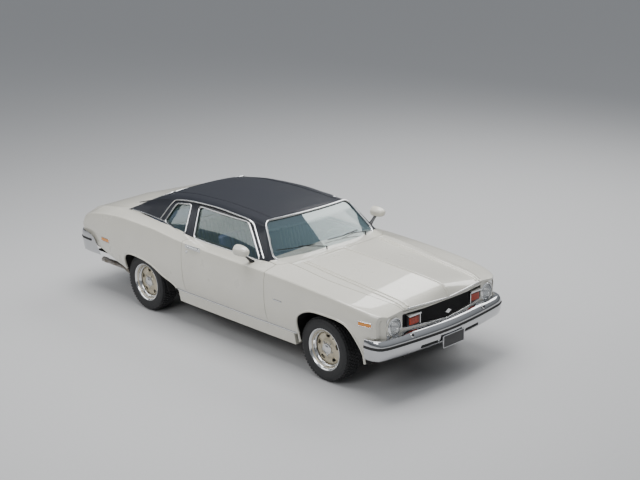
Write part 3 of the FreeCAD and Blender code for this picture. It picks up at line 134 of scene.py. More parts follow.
# The studio: one pale floor without an edge and plain soft light from large panels.
FLOOR_HALF = 60
floor_mesh = bpy.data.meshes.new("studio_floor")
floor_mesh.from_pydata([(FLOOR_HALF * x, FLOOR_HALF * y, 0) for x, y in ((-1, -1), (1, -1), (1, 1), (-1, 1))],
                       [], [(0, 1, 2, 3)])
floor = bpy.data.objects.new("studio_floor", floor_mesh)
bpy.context.scene.collection.objects.link(floor)
floor_paper = textured(node_material("floor_paper", (0.52, 0.52, 0.52), 0.75), GRAIN, (0.50, 0.50, 0.50),
                       (0.54, 0.54, 0.54), Scale=30, Rough_Low=0.7, Rough_High=0.8, Bump=0.02)
floor.data.materials.append(floor_paper)

world = bpy.data.worlds.new("studio")
bpy.context.scene.world = world
world.use_nodes = True
sky_tree = world.node_tree
background = sky_tree.nodes["Background"]
preset(background, Strength=0.5)
sky_place, sky_split, sky_rise, sky_mix = (sky_tree.nodes.new("ShaderNode" + kind) for kind in (
    "TexCoord", "SeparateXYZ", "MapRange", "Mix"))
preset(sky_rise, From_Max=0.7)
sky_mix.data_type = "RGBA"
sky_mix.inputs[6].default_value = (0.24, 0.25, 0.26, 1)
sky_mix.inputs[7].default_value = (0.90, 0.94, 1.0, 1)
wire(sky_tree, (sky_place, "Generated", sky_split, 0), (sky_split, "Z", sky_rise, "Value"),
     (sky_rise, 0, sky_mix, "Factor"), (sky_mix, 2, background, "Color"))
LIGHT_PANELS = (
    ("panel_overhead", (-0.5, 0.0, 7.5), (0, 0, 0.6), 5.0, 5.0, 560),
    ("panel_left", (7.6, 0.6, 7.5), (0, 0, 0.6), 9.0, 5.0, 620),
    ("panel_right", (-7.5, -3.0, 6.0), (0, 0, 0.6), 4.0, 4.0, 200),
    ("panel_rear", (-4.5, 4.8, 4.52), (0, 4.8, 4.52), 7.6, 2.0, 150))
for name, place, aim, width, depth, power in LIGHT_PANELS:
    light = bpy.data.lights.new(name, "AREA")
    light.shape = "RECTANGLE"
    light.size = width
    light.size_y = depth
    light.energy = power
    lamp = bpy.data.objects.new(name, light)
    bpy.context.scene.collection.objects.link(lamp)
    lamp.location = place
    lamp.rotation_mode = "QUATERNION"
    lamp.rotation_quaternion = (Vector(aim) - Vector(place)).to_track_quat("-Z", "Y")

# The lower body: steel panels pressed to one flowing form, welded or bolted to the frame and
# painted a warm off-white under a clear gloss. Five lines run from nose to tail and give the form.
HALF_WIDTH, NOSE, TAIL, WHEELBASE = 919.5, -880, 4054, 2819
DOOR_FRONT, DOOR_REAR = 756, 2043
SILL_BASE, SILL_TOP, WIDEST = 262, 402, 700
SILL_IN, FLANK_IN, CREASE_IN = 70, 44, 20
PANEL_GAP, PANEL_WALL = 6, 22
OUTSIDE, OFF_MIDDLE = 1200, 400


def through(points):
    """A smooth line through points of (place along the car, value) that never overshoots."""
    ys, vs = [p[0] for p in points], [p[1] for p in points]
    last = len(ys) - 1
    rise = [(vs[i + 1] - vs[i]) / (ys[i + 1] - ys[i]) for i in range(last)]
    inner = [0 if a * b <= 0 else 2 * a * b / (a + b) for a, b in zip(rise, rise[1:])]
    slope = [rise[0], *inner, rise[-1]]

    def value(y):
        y = min(max(y, ys[0]), ys[-1])
        i = max(k for k in range(last) if ys[k] <= y)
        span = ys[i + 1] - ys[i]
        u = (y - ys[i]) / span
        rest = 1 - u
        ends = vs[i] * rest * rest * (1 + 2 * u) + vs[i + 1] * u * u * (3 - 2 * u)
        return ends + span * u * rest * (slope[i] * rest - slope[i + 1] * u)

    return value


half_width = through([
    (NOSE - 20, HALF_WIDTH - 270), (NOSE + 90, HALF_WIDTH - 172), (NOSE + 140, HALF_WIDTH - 122),
    (NOSE + 187, HALF_WIDTH - 88), (NOSE + 280, HALF_WIDTH - 52), (NOSE + 480, HALF_WIDTH - 26),
    (0, HALF_WIDTH - 12), (600, HALF_WIDTH - 5), (1300, HALF_WIDTH), (DOOR_REAR, HALF_WIDTH),
    (2719, HALF_WIDTH - 6), (3219, HALF_WIDTH - 18), (TAIL - 450, HALF_WIDTH - 36),
    (TAIL - 200, HALF_WIDTH - 58), (TAIL - 50, HALF_WIDTH - 76)])
crease_z = through([
    (NOSE - 20, 760), (NOSE + 140, 802), (NOSE + 187, 817), (NOSE + 480, 867), (0, 901), (DOOR_FRONT, 933),
    (1400, 944), (DOOR_REAR, 962), (2300, 980), (2600, 1002), (3059, 1008), (TAIL - 650, 984),
    (TAIL - 330, 934), (TAIL - 150, 882), (TAIL - 50, 837)])
edge_x = through([
    (NOSE - 20, 510), (NOSE + 140, 560), (NOSE + 380, 598), (92, 660), (660, 655), (870, 728), (1000, 738),
    (2600, 738), (2999, 730), (TAIL - 720, 704), (TAIL - 150, 676), (TAIL - 50, 668)])
edge_z = through([
    (NOSE - 20, 735), (NOSE + 70, 799), (NOSE + 138, 836), (NOSE + 187, 858), (NOSE + 280, 875),
    (NOSE + 380, 885), (92, 937), (660, 985), (870, 985), (1000, 972), (DOOR_REAR, 984), (2600, 1022),
    (2999, 1028), (TAIL - 650, 1018), (TAIL - 350, 986), (TAIL - 170, 948), (TAIL - 50, 902)])
middle_z = through([
    (NOSE - 20, 755), (NOSE + 69, 833), (NOSE + 105, 897), (NOSE + 153, 934), (NOSE + 380, 957), (-194, 975),
    (565, 1005), (870, 1009), (1400, 1010), (2600, 1040), (TAIL - 750, 1050), (TAIL - 450, 1022),
    (TAIL - 200, 984), (TAIL - 110, 954), (TAIL - 50, 902)])


def bend(t, a, b, c, m):
    """A gentle curve from a to c that passes through b where t is m."""
    return (a * (t - m) * (t - 1) / m + b * t * (t - 1) / (m * (m - 1)) + c * t * (t - m) / (1 - m))


def side_x(y, z):
    """How far out the body's side is at a height."""
    wide, crease = half_width(y), crease_z(y)
    if z <= SILL_TOP:
        return wide - SILL_IN + (SILL_IN - FLANK_IN) * (z - SILL_BASE) / (SILL_TOP - SILL_BASE)
    if z <= WIDEST:
        return bend((z - SILL_TOP) / (WIDEST - SILL_TOP), wide - FLANK_IN, wide - 7, wide, 150 / 298)
    if z <= crease:
        return bend((z - WIDEST) / (crease - WIDEST), wide, wide - 4, wide - CREASE_IN,
                    0.5 + 20 / (crease - WIDEST))
    return wide - CREASE_IN + (edge_x(y) - wide + CREASE_IN) * (z - crease) / (edge_z(y) - crease)


def top_z(x, y):
    """How high the hood, cowl, belt or deck is at a place."""
    x, ex = abs(x), edge_x(y)
    if x <= ex:
        return middle_z(y) + (edge_z(y) - middle_z(y)) * x / ex
    return edge_z(y) + (crease_z(y) - edge_z(y)) * (x - ex) / (half_width(y) - CREASE_IN - ex)


def soft_corner(before, corner, after, reach, steps):
    """Points of a rounded corner between two flat points."""
    a = corner + (before - corner).normalized() * reach
    b = corner + (after - corner).normalized() * reach
    return [a * (1 - t) ** 2 + corner * (2 * t * (1 - t)) + b * t * t
            for t in (k / steps for k in range(steps + 1))]


def opposite(v):
    """The same place or direction on the car's other side."""
    return Vector((-v.x, v.y, v.z))


def body_ring(y, inset):
    """One closed ring of points round the lower body."""
    shoulder = Vector((half_width(y) - CREASE_IN - inset, crease_z(y) - 0.8 * inset))
    heights = [SILL_BASE + inset + (SILL_TOP - SILL_BASE - inset) * k / 3 for k in range(3)]
    heights += [SILL_TOP + (WIDEST - SILL_TOP) * k / 12 for k in range(12)]
    heights += [WIDEST + (shoulder.y - WIDEST) * k / 8.6 for k in range(8)]
    half = [Vector((side_x(y, z) - inset, z)) for z in heights]
    edge = Vector((edge_x(y) - 0.3 * inset, edge_z(y) - inset))
    middle = Vector((0, middle_z(y) - inset))
    half += soft_corner(half[-1], shoulder, edge, 15, 5)
    half += [shoulder.lerp(edge, t) for t in (0.3, 0.6)]
    half += soft_corner(shoulder, edge, middle, 12, 4)
    half += [edge.lerp(middle, t) for t in (0.15, 0.3, 0.45, 0.6, 0.75, 0.88, 0.97)]
    ring = [at(p.x, y, p.y) for p in half] + [at(0, y, middle.y - 0.6)]
    return ring + [opposite(v) for v in ring[-2::-1]]


def body_stations():
    marks = {NOSE - 20, NOSE + 60, NOSE + 90, NOSE + 110, NOSE + 140, NOSE + 160, NOSE + 187, TAIL - 50,
             TAIL - 110, TAIL - 170}
    y = NOSE
    while y < TAIL - 60:
        if min(abs(y - m) for m in marks) > 12:
            marks.add(y)
        y += 40 if NOSE + 300 < y < TAIL - 500 else 24
    return sorted(marks)


def tube_mesh(rings):
    """A closed mesh through rings of points."""
    mesh = bmesh.new()
    rows = [[mesh.verts.new(p) for p in ring] for ring in rings]
    count = len(rows[0])
    for a, b in zip(rows, rows[1:]):
        for i in range(count):
            j = (i + 1) % count
            mesh.faces.new((a[i], a[j], b[j], b[i]))
    mesh.faces.new(rows[0][::-1])
    mesh.faces.new(rows[-1])
    bmesh.ops.recalc_face_normals(mesh, faces=mesh.faces)
    if mesh.calc_volume(signed=True) < 0:
        bmesh.ops.reverse_faces(mesh, faces=mesh.faces)
    return mesh


def thing(name, mesh):
    """An object with this mesh, linked to the scene."""
    data = bpy.data.meshes.new(name)
    mesh.to_mesh(data)
    mesh.free()
    obj = bpy.data.objects.new(name, data)
    bpy.context.scene.collection.objects.link(obj)
    return obj


def body_solid(inset):
    ys = body_stations()
    if inset:
        ys = [NOSE - 14] + ys[1:-1] + [TAIL - 56]
    return tube_mesh([body_ring(y, inset) for y in ys])


def join_meshes(parts):
    """Several meshes as one."""
    whole = bmesh.new()
    for part in parts:
        data = bpy.data.meshes.new("part")
        part.to_mesh(data)
        part.free()
        whole.from_mesh(data)
        bpy.data.meshes.remove(data)
    return whole


def nested(outer, inner):
    """The wall between two closed forms, one inside the other."""
    bmesh.ops.reverse_faces(inner, faces=inner.faces)
    return join_meshes([outer, inner])


def smooth_line(points, step=26):
    """Points of a soft curve through a few corners, each corner kept."""
    out = []
    count = len(points)
    for i in range(count - 1):
        p0, p1, p2 = points[max(i - 1, 0)], points[i], points[i + 1]
        p3 = points[min(i + 2, count - 1)]
        a, b, c, d = (Vector(p) for p in (p0, p1, p2, p3))
        parts = max(1, int((c - b).length / step))
        for k in range(parts):
            t = k / parts
            out.append(0.5 * (2 * b + (c - a) * t + (2 * a - 5 * b + 4 * c - d) * t * t
                              + (3 * b - a - 3 * c + d) * t ** 3))
    return out + [Vector(points[-1])]


def rounded_outline(points, radius, steps=5):
    """A closed flat outline with rounded corners."""
    out = []
    count = len(points)
    for i in range(count):
        a, b, c = (Vector(points[k % count]) for k in (i - 1, i, i + 1))
        r = radius[i] if isinstance(radius, (list, tuple)) else radius
        out += soft_corner(a, b, c, r, steps) if r > 0.5 else [b]
    return out


def side_block(outline, x0=0, x1=OUTSIDE):
    """A solid across the car on a side outline of (y, z) points."""
    return tube_mesh([[at(x, p[0], p[1]) for p in outline] for x in (x0, x1)])


def plan_block(outline, z0, z1):
    return tube_mesh([[at(p[0], p[1], z) for p in outline] for z in (z0, z1)])


def front_block(outline, y0, y1):
    return tube_mesh([[at(p[0], y, p[1]) for p in outline] for y in (y0, y1)])


def carve(target, cutters, how="DIFFERENCE"):
    """Cuts the target by each cutter, exactly, and gives it back."""
    for cutter in cutters:
        tool = thing("cutter", cutter) if isinstance(cutter, bmesh.types.BMesh) else cutter
        mod = target.modifiers.new("cut", "BOOLEAN")
        mod.operation = how
        mod.solver = "EXACT"
        mod.object = tool
        bpy.context.view_layer.update()
        done = bpy.data.meshes.new_from_object(target.evaluated_get(bpy.context.evaluated_depsgraph_get()))
        target.modifiers.remove(mod)
        target.data = done
        if tool is not cutter:
            bpy.data.objects.remove(tool)
    return target


def mesh_of(obj):
    """An editable copy of an object's mesh."""
    work = bmesh.new()
    work.from_mesh(obj.data)
    return work


def mirrored(mesh):
    """Turns a mesh into its mirror image across the car."""
    bmesh.ops.scale(mesh, vec=(-1, 1, 1), verts=mesh.verts)
    bmesh.ops.reverse_faces(mesh, faces=mesh.faces)
    return mesh


def mirror_twin(obj):
    """Adds the mirror image of a right-hand or left-hand mesh to the same object."""
    whole = join_meshes([mesh_of(obj), mirrored(mesh_of(obj))])
    whole.to_mesh(obj.data)
    whole.free()


def carved_copy(name, mesh, space):
    """A new object: what lies inside a space of a mesh that other pieces are cut from too."""
    obj = thing(name, bmesh.new())
    obj.data = mesh.copy()
    return carve(obj, [space], "INTERSECT")


def finish_piece(obj, mat, body, slot, *stands_for, angle=28):
    """Shades a piece, gives it its material and ties it to its body."""
    mesh = obj.data
    if mat is not None:
        mesh.materials.clear()
        mesh.materials.append(mat)
    mesh.shade_smooth()
    mesh.set_sharp_from_angle(angle=math.radians(angle))
    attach(obj, body)
    if stands_for:
        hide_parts(*stands_for)
    return obj


def make(name, mesh, *finish, **shading):
    """A finished piece of a new mesh, or of a list of meshes joined."""
    return finish_piece(thing(name, join_meshes(mesh) if isinstance(mesh, list) else mesh), *finish,
                        **shading)


def other_side(points):
    return [(-x, y) for x, y in points]


paint = textured(node_material("body_gloss", (0.68, 0.655, 0.57), 0.3, Coat_Weight=1.0, Coat_Roughness=0.02,
                               Coat_IOR=1.7), GRAIN, (0.70, 0.675, 0.59), (0.66, 0.635, 0.55), Scale=2.6,
                 Detail=6, Low=0.3, High=0.7, Rough_Low=0.26, Rough_High=0.36, Bump=0.01, Depth=0.0004)

body_wall = thing("body_wall", nested(body_solid(0), body_solid(PANEL_WALL)))
body_full = thing("body_full", body_solid(0))


def panel(name, space, holes=()):
    """A piece of the body's wall inside a space, less some holes."""
    return carve(carved_copy(name, body_wall.data, space), holes)


NOSE_PLAN = [(0, NOSE + 62), (300, NOSE + 86), (543, NOSE + 128), (745, NOSE + 144), (802, NOSE + 182),
             (960, NOSE + 260)]
nose_curve = [tuple(p) for p in smooth_line(NOSE_PLAN, 40)]
HOOD_EDGE = smooth_line([(532, NOSE + 30), (560, NOSE + 140), (598, NOSE + 380), (661, 92), (655, 640)], 60)
HOOD_REAR_MID, HOOD_REAR = 566, 652
HALF_GAP = PANEL_GAP // 2
hood_side = [(532 - HALF_GAP, NOSE - 40)] + [(p.x - HALF_GAP, p.y)
                                             for p in HOOD_EDGE] + [(652, HOOD_REAR), (400, HOOD_REAR - 52)]
hood_plan = hood_side + [(0, HOOD_REAR_MID)] + other_side(hood_side[::-1])
nose_room = plan_block(nose_curve + [(960, 2000), (-960, 2000)] + other_side(nose_curve[:0:-1]), 100, 1300)
hood = panel("hood_skin", plan_block(hood_plan, 820, OUTSIDE))
carve(hood, [nose_room], "INTERSECT")
finish_piece(hood, paint, "hood_panel", "body_paint", "hood")

ARCH_FRONT = smooth_line([
    (-516, 300), (-516, 430), (-500, 490), (-474, 545), (-438, 600), (-392, 646), (-330, 682), (-240, 700),
    (-130, 706), (20, 705), (125, 694), (225, 656), (295, 600), (318, 540), (322, 470), (322, 300)])
ARCH_REAR = smooth_line([(2195, 300), (2212, 410), (2240, 440), (2318, 474), (2390, 496), (2459, 525),
                         (2530, 559), (2600, 588), (2680, 606), (2750, 618), (2900, 627), (3010, 622),
                         (3070, 604), (3112, 572), (3132, 530), (3138, 470), (3138, 300)])
FENDER_SIDE = [
    (NOSE - 30, SILL_TOP + 212), (-660, SILL_TOP + 206), (-610, SILL_TOP + 120), (-570, SILL_TOP),
    (DOOR_FRONT - PANEL_GAP, SILL_TOP), (DOOR_FRONT - PANEL_GAP, 1100), (NOSE - 30, 1100)]
fender_plan = [(532 + HALF_GAP, NOSE - 40)] + [(p.x + HALF_GAP, p.y) for p in HOOD_EDGE]
fender_plan += [(662, HOOD_REAR + 18), (748, DOOR_FRONT - 20), (748, DOOR_FRONT), (OUTSIDE, DOOR_FRONT),
                (OUTSIDE, NOSE - 40)]
fenders = panel("fender_skins", plan_block(fender_plan, 200, OUTSIDE))
carve(fenders, [side_block(FENDER_SIDE)], "INTERSECT")
carve(fenders, [plan_block(nose_curve + [(960, 2000), (0, 2000)], 100, 1300)], "INTERSECT")
carve(fenders, [side_block(ARCH_FRONT, OFF_MIDDLE)])
mirror_twin(fenders)
finish_piece(fenders, paint, "body", "body_paint", "fenders")

cowl_half = [(400, HOOD_REAR - 46), (650, HOOD_REAR + 6), (656, HOOD_REAR + 18), (742, DOOR_FRONT - 20),
             (742, 905)]
cowl = panel("cowl_skin", plan_block([(0, HOOD_REAR_MID + 6)] + cowl_half + other_side(cowl_half[::-1]), 800,
                                     1200))
firewall = thing("firewall",
                 tube_mesh([[at(x, y, z) for x, y in ((-640, 690), (640, 690), (640, 704), (-640, 704))]
                            for z in (392, 960)]))
finish_piece(cowl, paint, "body", "body_paint", "cowl")
finish_piece(firewall, paint, "body", "body_paint")

DOOR_SIDE = [(DOOR_FRONT, SILL_TOP + PANEL_GAP), (DOOR_REAR, SILL_TOP + PANEL_GAP), (DOOR_REAR, 1100),
             (DOOR_FRONT, 1100)]
DOOR_INNER = 752
door_left = carved_copy("door_skin_left", body_full.data, side_block(DOOR_SIDE, DOOR_INNER))

DECK_FRONT, DECK_REAR = 3372, TAIL - 176


def deck_plan(margin):
    front, rear, half = DECK_FRONT - margin, DECK_REAR + margin, 650 + margin
    right = [(-half, rear), (-half + 10, front + 64), (-half + 50, front + 19)]
    return right + [(0, front)] + other_side(right[::-1])


deck = panel("deck_skin", plan_block(deck_plan(0), 800, OUTSIDE))
finish_piece(deck, paint, "deck", "body_paint", "deck_lid")

QUARTER_SIDE = [(DOOR_REAR + PANEL_GAP, SILL_TOP), (WHEELBASE + 300, SILL_TOP), (TAIL - 485, 548),
                (TAIL - 100, 600), (TAIL - 96, 700), (TAIL - 80, 764), (TAIL - 104, 831), (TAIL - 156, 900),
                (TAIL - 178, OUTSIDE), (DOOR_REAR + PANEL_GAP, OUTSIDE)]
cabin_room = [(-738, 845), (738, 845), (738, 2620), (690, 3060), (-690, 3060), (-738, 2620)]
quarters = panel("quarter_skins", side_block(QUARTER_SIDE, -OUTSIDE),
                 [plan_block(cabin_room, 700, OUTSIDE), plan_block(deck_plan(PANEL_GAP), 700, OUTSIDE),
                  side_block(ARCH_REAR, -OUTSIDE)])
finish_piece(quarters, paint, "body", "body_paint", "quarters")

# The roof: a crowned steel shell with its pillars, open for the windows, and covered from the
# windshield to the sail panels with black vinyl that is glued on and sewn in long seams.
ROOF, ROOF_EDGE = 1370, 1312
edge_line = through([(500, ROOF_EDGE - 110), (900, ROOF_EDGE - 62), (1332, ROOF_EDGE - 28),
                     (1782, ROOF_EDGE), (2227, ROOF_EDGE - 10), (2640, ROOF_EDGE - 62),
                     (2900, ROOF_EDGE - 118), (3150, ROOF_EDGE - 185), (3300, ROOF_EDGE - 232),
                     (3500, ROOF_EDGE - 300)])
edge_half = through([(500, 640), (900, 618), (1332, 596), (2640, 594), (2900, 606), (3150, 634), (3500, 690)])
crown_line = through([(500, ROOF - 150), (1100, ROOF - 38), (1400, ROOF - 12), (1900, ROOF),
                      (2300, ROOF - 8), (2650, ROOF - 40), (3000, ROOF - 85), (3500, ROOF - 180)])
PILLAR_FOOT, PILLAR_LEAN, PILLAR_WALL, SHOULDER = 860, 0.53, 34, 60


def roof_half(y, inset):
    """Points of half a roof section, from the pillar's foot to the middle."""
    ex, ez, top = edge_half(y) - inset, edge_line(y) - 0.5 * inset, crown_line(y) - inset
    start = Vector((ex + (ez - PILLAR_FOOT) * PILLAR_LEAN, PILLAR_FOOT))
    low, high = Vector((ex, ez - 26)), Vector((ex - SHOULDER, ez + 0.3 * (top - ez) + 8))
    out = [start.lerp(low, t) for t in (0, 0.2, 0.4, 0.6, 0.8)]
    out += [Vector((bend(t, low.x, ex - 14, high.x, 0.42), bend(t, low.y, ez + 2, high.y, 0.42)))
            for t in (0, 0.2, 0.4, 0.6, 0.8)]
    out += [Vector((high.x * (1 - t), bend(t, high.y, top - 10, top, 0.47)))
            for t in (0, 0.12, 0.25, 0.38, 0.5, 0.62, 0.75, 0.88, 0.97)]
    return out


def roof_ring(y, inset):
    half = [at(p.x, y, p.y) for p in roof_half(y, inset)]
    return half + [at(0, y, crown_line(y) - inset)] + [opposite(v) for v in half[::-1]]


def roof_point(y, share, lift=0):
    """A point of the roof's outer face; the share runs from the pillar's foot (0) to the middle (1)."""
    half = roof_half(y, -lift)
    k = min(share * (len(half) - 1), len(half) - 1.001)
    p = half[int(k)].lerp(half[int(k) + 1], k - int(k))
    return at(p.x, y, p.y)


def pillar_x(y, z):
    """How far out the side of the roof's pillars is at a height."""
    ex, ez = edge_half(y), edge_line(y)
    return ex + max(ez - 26 - z, 0) * PILLAR_LEAN * (ez - PILLAR_FOOT) / (ez - 26 - PILLAR_FOOT)


def windshield_half(z):
    """Half the width of the windshield's plane at a height."""
    return 735 - 135 * ((z - 1000) / 300)


def windshield_y(x, z):
    """How far back the curved windshield stands at a place of its plane."""
    up = (z - 1000) / 300
    return 700 + 360 * up + (172 - 122 * up) * (x / windshield_half(z)) ** 2


def rear_window_half(z):
    return 660 - 90 * ((z - 1060) / 240)


def rear_window_y(x, z):
    return 3262 - 545 * ((z - 1060) / 240) - 47 * (x / rear_window_half(z)) ** 2


def glass_space(inset):
    """The space between the windshield's plane and the rear window's."""
    rings = []
    for z in (830, 960, 1090, 1220, 1350, 1450):
        xf, xr = windshield_half(z), rear_window_half(z)
        share = [k / 12 for k in range(-12, 13)]
        ring = [at(s * xf, windshield_y(s * xf, z) + inset * 1.3, z) for s in share]
        ring += [at(960, windshield_y(xf, z) + 60, z), at(960, rear_window_y(xr, z) + 150, z)]
        ring += [at(-s * xr, rear_window_y(s * xr, z) - 2.4 * inset, z) for s in share]
        ring += [at(-960, rear_window_y(xr, z) + 150, z), at(-960, windshield_y(xf, z) + 60, z)]
        rings.append(ring)
    return tube_mesh(rings)


def roof_solid(inset, name):
    ys = [500 + 50 * k for k in range(61)]
    return carve(thing(name, tube_mesh([roof_ring(y, inset) for y in ys])), [glass_space(inset)], "INTERSECT")


def roof_wall(name, outer_inset, inner_inset):
    inner = roof_solid(inner_inset, "inner")
    wall = carve(roof_solid(outer_inset, name), [inner])
    bpy.data.objects.remove(inner)
    return wall


WINDSHIELD = [(-690, 985), (690, 985), (560, 1292), (-560, 1292)]
REAR_WINDOW = [(-590, 1078), (590, 1078), (530, 1278), (-530, 1278)]
DOOR_GLASS = [(985, 968), (2012, 984), (2093, 1262), (1322, 1246)]
DOOR_FRAME = [(925, 930), (DOOR_REAR - 6, 930), (2040, 990), (2128, 1289), (1312, 1274)]
DOOR_OPENING = [(917, 924), (DOOR_REAR, 924), (2046, 988), (2136, 1295), (1308, 1280)]
QUARTER_GLASS = [(2182, 982), (2580, 1032), (2486, 1222), (2240, 1258)]
windshield_outline = rounded_outline(WINDSHIELD, 55)
rear_outline = rounded_outline(REAR_WINDOW, 50)
door_glass_outline = rounded_outline(DOOR_GLASS, 34)
quarter_outline = rounded_outline(QUARTER_GLASS, 34)

vinyl = textured(node_material("roof_vinyl", (0.008, 0.010, 0.016), 0.42, Coat_Weight=0.2,
                               Coat_Roughness=0.14, Specular_IOR_Level=0.3), PEBBLE, (0.004, 0.005, 0.009),
                 (0.010, 0.012, 0.019), Scale=420, Low=0.0, High=0.7, Rough_Low=0.36, Rough_High=0.55,
                 Bump=0.3, Depth=0.0005)
SCREEN_REACH, REAR_REACH = (300, 1350), (2550, 3500)


def through_sides(outline):
    """Cutters for an outline on both sides of the car, which leave its middle alone."""
    return [side_block(outline, OFF_MIDDLE), side_block(outline, -OUTSIDE, -OFF_MIDDLE)]


shell = roof_wall("roof_vinyl_shell", 0, PILLAR_WALL)
carve(shell, [front_block(windshield_outline, *SCREEN_REACH), front_block(rear_outline, *REAR_REACH),
              *through_sides(quarter_outline)])
roof_whole = shell.data.copy()
carve(shell, [*through_sides(rounded_outline(DOOR_OPENING, [8, 3, 3, 40, 60])), body_full])
finish_piece(shell, vinyl, "body", "vinyl_roof", "roof_shell")

# The doors' window frames: steel channels painted black, pressed with each door's inner panel.
# They stand up from the belt and swing with the door.
door_frame = side_block(rounded_outline(DOOR_FRAME, [8, 3, 3, 38, 58]), OFF_MIDDLE)
frame_left = carved_copy("door_frame_left", roof_whole, door_frame)
carve(frame_left, [side_block(door_glass_outline, OFF_MIDDLE), body_full])
frame_right = thing("door_frame_right", mirrored(mesh_of(frame_left)))
trim_black = textured(node_material("frame_black", (0.012, 0.012, 0.014), 0.35), GRAIN,
                      (0.010, 0.010, 0.012), (0.02, 0.02, 0.022), Scale=60, Rough_Low=0.25, Rough_High=0.45,
                      Bump=0.05)
door_right = thing("door_skin_right", mirrored(mesh_of(door_left)))
for side, skin, rim in (("l", door_left, frame_left), ("r", door_right, frame_right)):
    finish_piece(rim, trim_black, "door_" + side, "vinyl_roof")
    finish_piece(skin, paint, "door_" + side, "body_paint", "door_left" if side == "l" else "door_right")
bpy.data.objects.remove(body_wall)
bpy.data.objects.remove(body_full)

# The glass: tinted safety glass. The windshield is laminated, with a dark shade band at its top.
# The fixed panes are bonded in their openings, and each door's pane stands in its frame.
def tinted(name, colour, clear, edge, band=None):
    """Glass that lets the cabin show and may have a dark band at its top; its colour is the glass's tint and
    also a painted reflection of the sky, laid on more thickly at a slant.
    """
    mat = node_material(name, colour, 0.02, IOR=2.3, Coat_Weight=1.0, Coat_IOR=2.0, Coat_Roughness=0.01,
                        Specular_Tint=(0.72, 0.94, 0.86, 1))
    tree = mat.node_tree
    shader = tree.nodes["Principled BSDF"]
    place, ripple, haze, slant, cover = (tree.nodes.new("ShaderNode" + kind) for kind in (
        "TexCoord", "TexNoise", "MapRange", "LayerWeight", "MapRange"))
    preset(ripple, Scale=1.5)
    preset(haze, To_Min=0.012, To_Max=0.04)
    preset(slant, Blend=0.35)
    # The opacity grows at a slant, so the colour shows there as a painted reflection of the sky.
    preset(cover, To_Min=clear, To_Max=edge)
    wire(tree, (place, "Object", ripple, "Vector"), (ripple, "Fac", haze, "Value"),
         (haze, 0, shader, "Roughness"), (slant, "Facing", cover, "Value"))
    if band is None:
        wire(tree, (cover, 0, shader, "Alpha"))
        return mat
    height, shade, thick, dark_share, mix = (tree.nodes.new("ShaderNode" + kind) for kind in (
        "SeparateXYZ", "MapRange", "Math", "Math", "Mix"))
    preset(shade, From_Min=band[0] / 1000, From_Max=band[1] / 1000)
    thick.operation, dark_share.operation = "MAXIMUM", "MULTIPLY"
    dark_share.inputs[1].default_value = 0.85
    mix.data_type = "RGBA"
    mix.inputs[6].default_value = (*colour, 1)
    mix.inputs[7].default_value = (0.02, 0.05, 0.07, 1)
    wire(tree, (place, "Object", height, 0), (height, "Z", shade, "Value"), (shade, 0, dark_share, 0),
         (cover, 0, thick, 0), (dark_share, 0, thick, 1), (thick, 0, shader, "Alpha"),
         (shade, 0, mix, "Factor"), (mix, 2, shader, "Base Color"))
    return mat


# Each colour is the glass's tint and also a painted reflection of the sky; the windshield's is the paler.
glass = tinted("side_glass", (0.07, 0.12, 0.11), 0.10, 0.36)
screen_glass = tinted("screen_glass", (0.16, 0.26, 0.29), 0.14, 0.6, (1190, 1236))
GLASS_SET, GLASS_THICK = 9, 6
glass_sheet = roof_wall("glass_sheet", GLASS_SET, GLASS_SET + GLASS_THICK)
for name, mat, space, node in (
        ("windshield_glass", screen_glass, front_block(windshield_outline, *SCREEN_REACH), ["fixed_glass"]),
        ("rear_glass", glass, front_block(rear_outline, *REAR_REACH), []),
        ("quarter_glass_left", glass, side_block(quarter_outline, OFF_MIDDLE), []),
        ("quarter_glass_right", glass, side_block(quarter_outline, -OUTSIDE, -OFF_MIDDLE), [])):
    finish_piece(carved_copy(name, glass_sheet.data, space), mat, "body", "window_glass", *node)
door_pane = carved_copy("door_glass_pane_left", glass_sheet.data, side_block(door_glass_outline, OFF_MIDDLE))
bpy.data.objects.remove(glass_sheet)
make("door_glass_pane_right", mirrored(mesh_of(door_pane)), glass, "door_r", "window_glass",
     "door_glass_right")
finish_piece(door_pane, glass, "door_l", "window_glass", "door_glass_left")

# Bright metal: pressed and polished stainless mouldings, clipped to the body round the windows,
# along the drip rails, at the vinyl's lower edge and on the rockers.
chrome = textured(node_material("bright_metal", (0.80, 0.80, 0.79), 0.12, 1.0), GRAIN, (0.82, 0.82, 0.81),
                  (0.72, 0.73, 0.74), Scale=14, Rough_Low=0.07, Rough_High=0.17, Bump=0.01, Depth=0.0003)


def moulding(name, lines, width, proud, mat, body, slot, closed=False, sink=2.0):
    """Half-round strips along lines of (point, outward) pairs, sunk a little into what they lie on."""
    work = bmesh.new()
    for line in lines:
        count = len(line)
        rows = []
        for i, (point, out) in enumerate(line):
            before = line[(i - 1) % count if closed else max(i - 1, 0)][0]
            after = line[(i + 1) % count if closed else min(i + 1, count - 1)][0]
            run = (after - before).normalized()
            out = (out - run * out.dot(run)).normalized()
            across = run.cross(out) * (width / 2000)
            up = out * (proud / 1000)
            shape = [(-1, -sink / proud), (-1, 0.35), (-0.62, 0.85), (0, 1), (0.62, 0.85), (1, 0.35),
                     (1, -sink / proud)]
            rows.append([work.verts.new(point + across * a + up * b) for a, b in shape])
        pairs = list(zip(rows, rows[1:])) + ([(rows[-1], rows[0])] if closed else [])
        for a, b in pairs:
            for k in range(7):
                m = (k + 1) % 7
                work.faces.new((a[k], b[k], b[m], a[m]))
        if not closed:
            work.faces.new(rows[0])
            work.faces.new(rows[-1][::-1])
    bmesh.ops.recalc_face_normals(work, faces=work.faces)
    return make(name, work, mat, body, slot, angle=50)


def both_sides(line):
    return [line, [(opposite(p), opposite(n)) for p, n in line]]


def along_side(points, lift=0.0):
    """A line on the body's side, from (y, z) points."""
    return [(at(side_x(y, z) + lift, y, z), Vector((1, 0, 0.15))) for y, z in points]


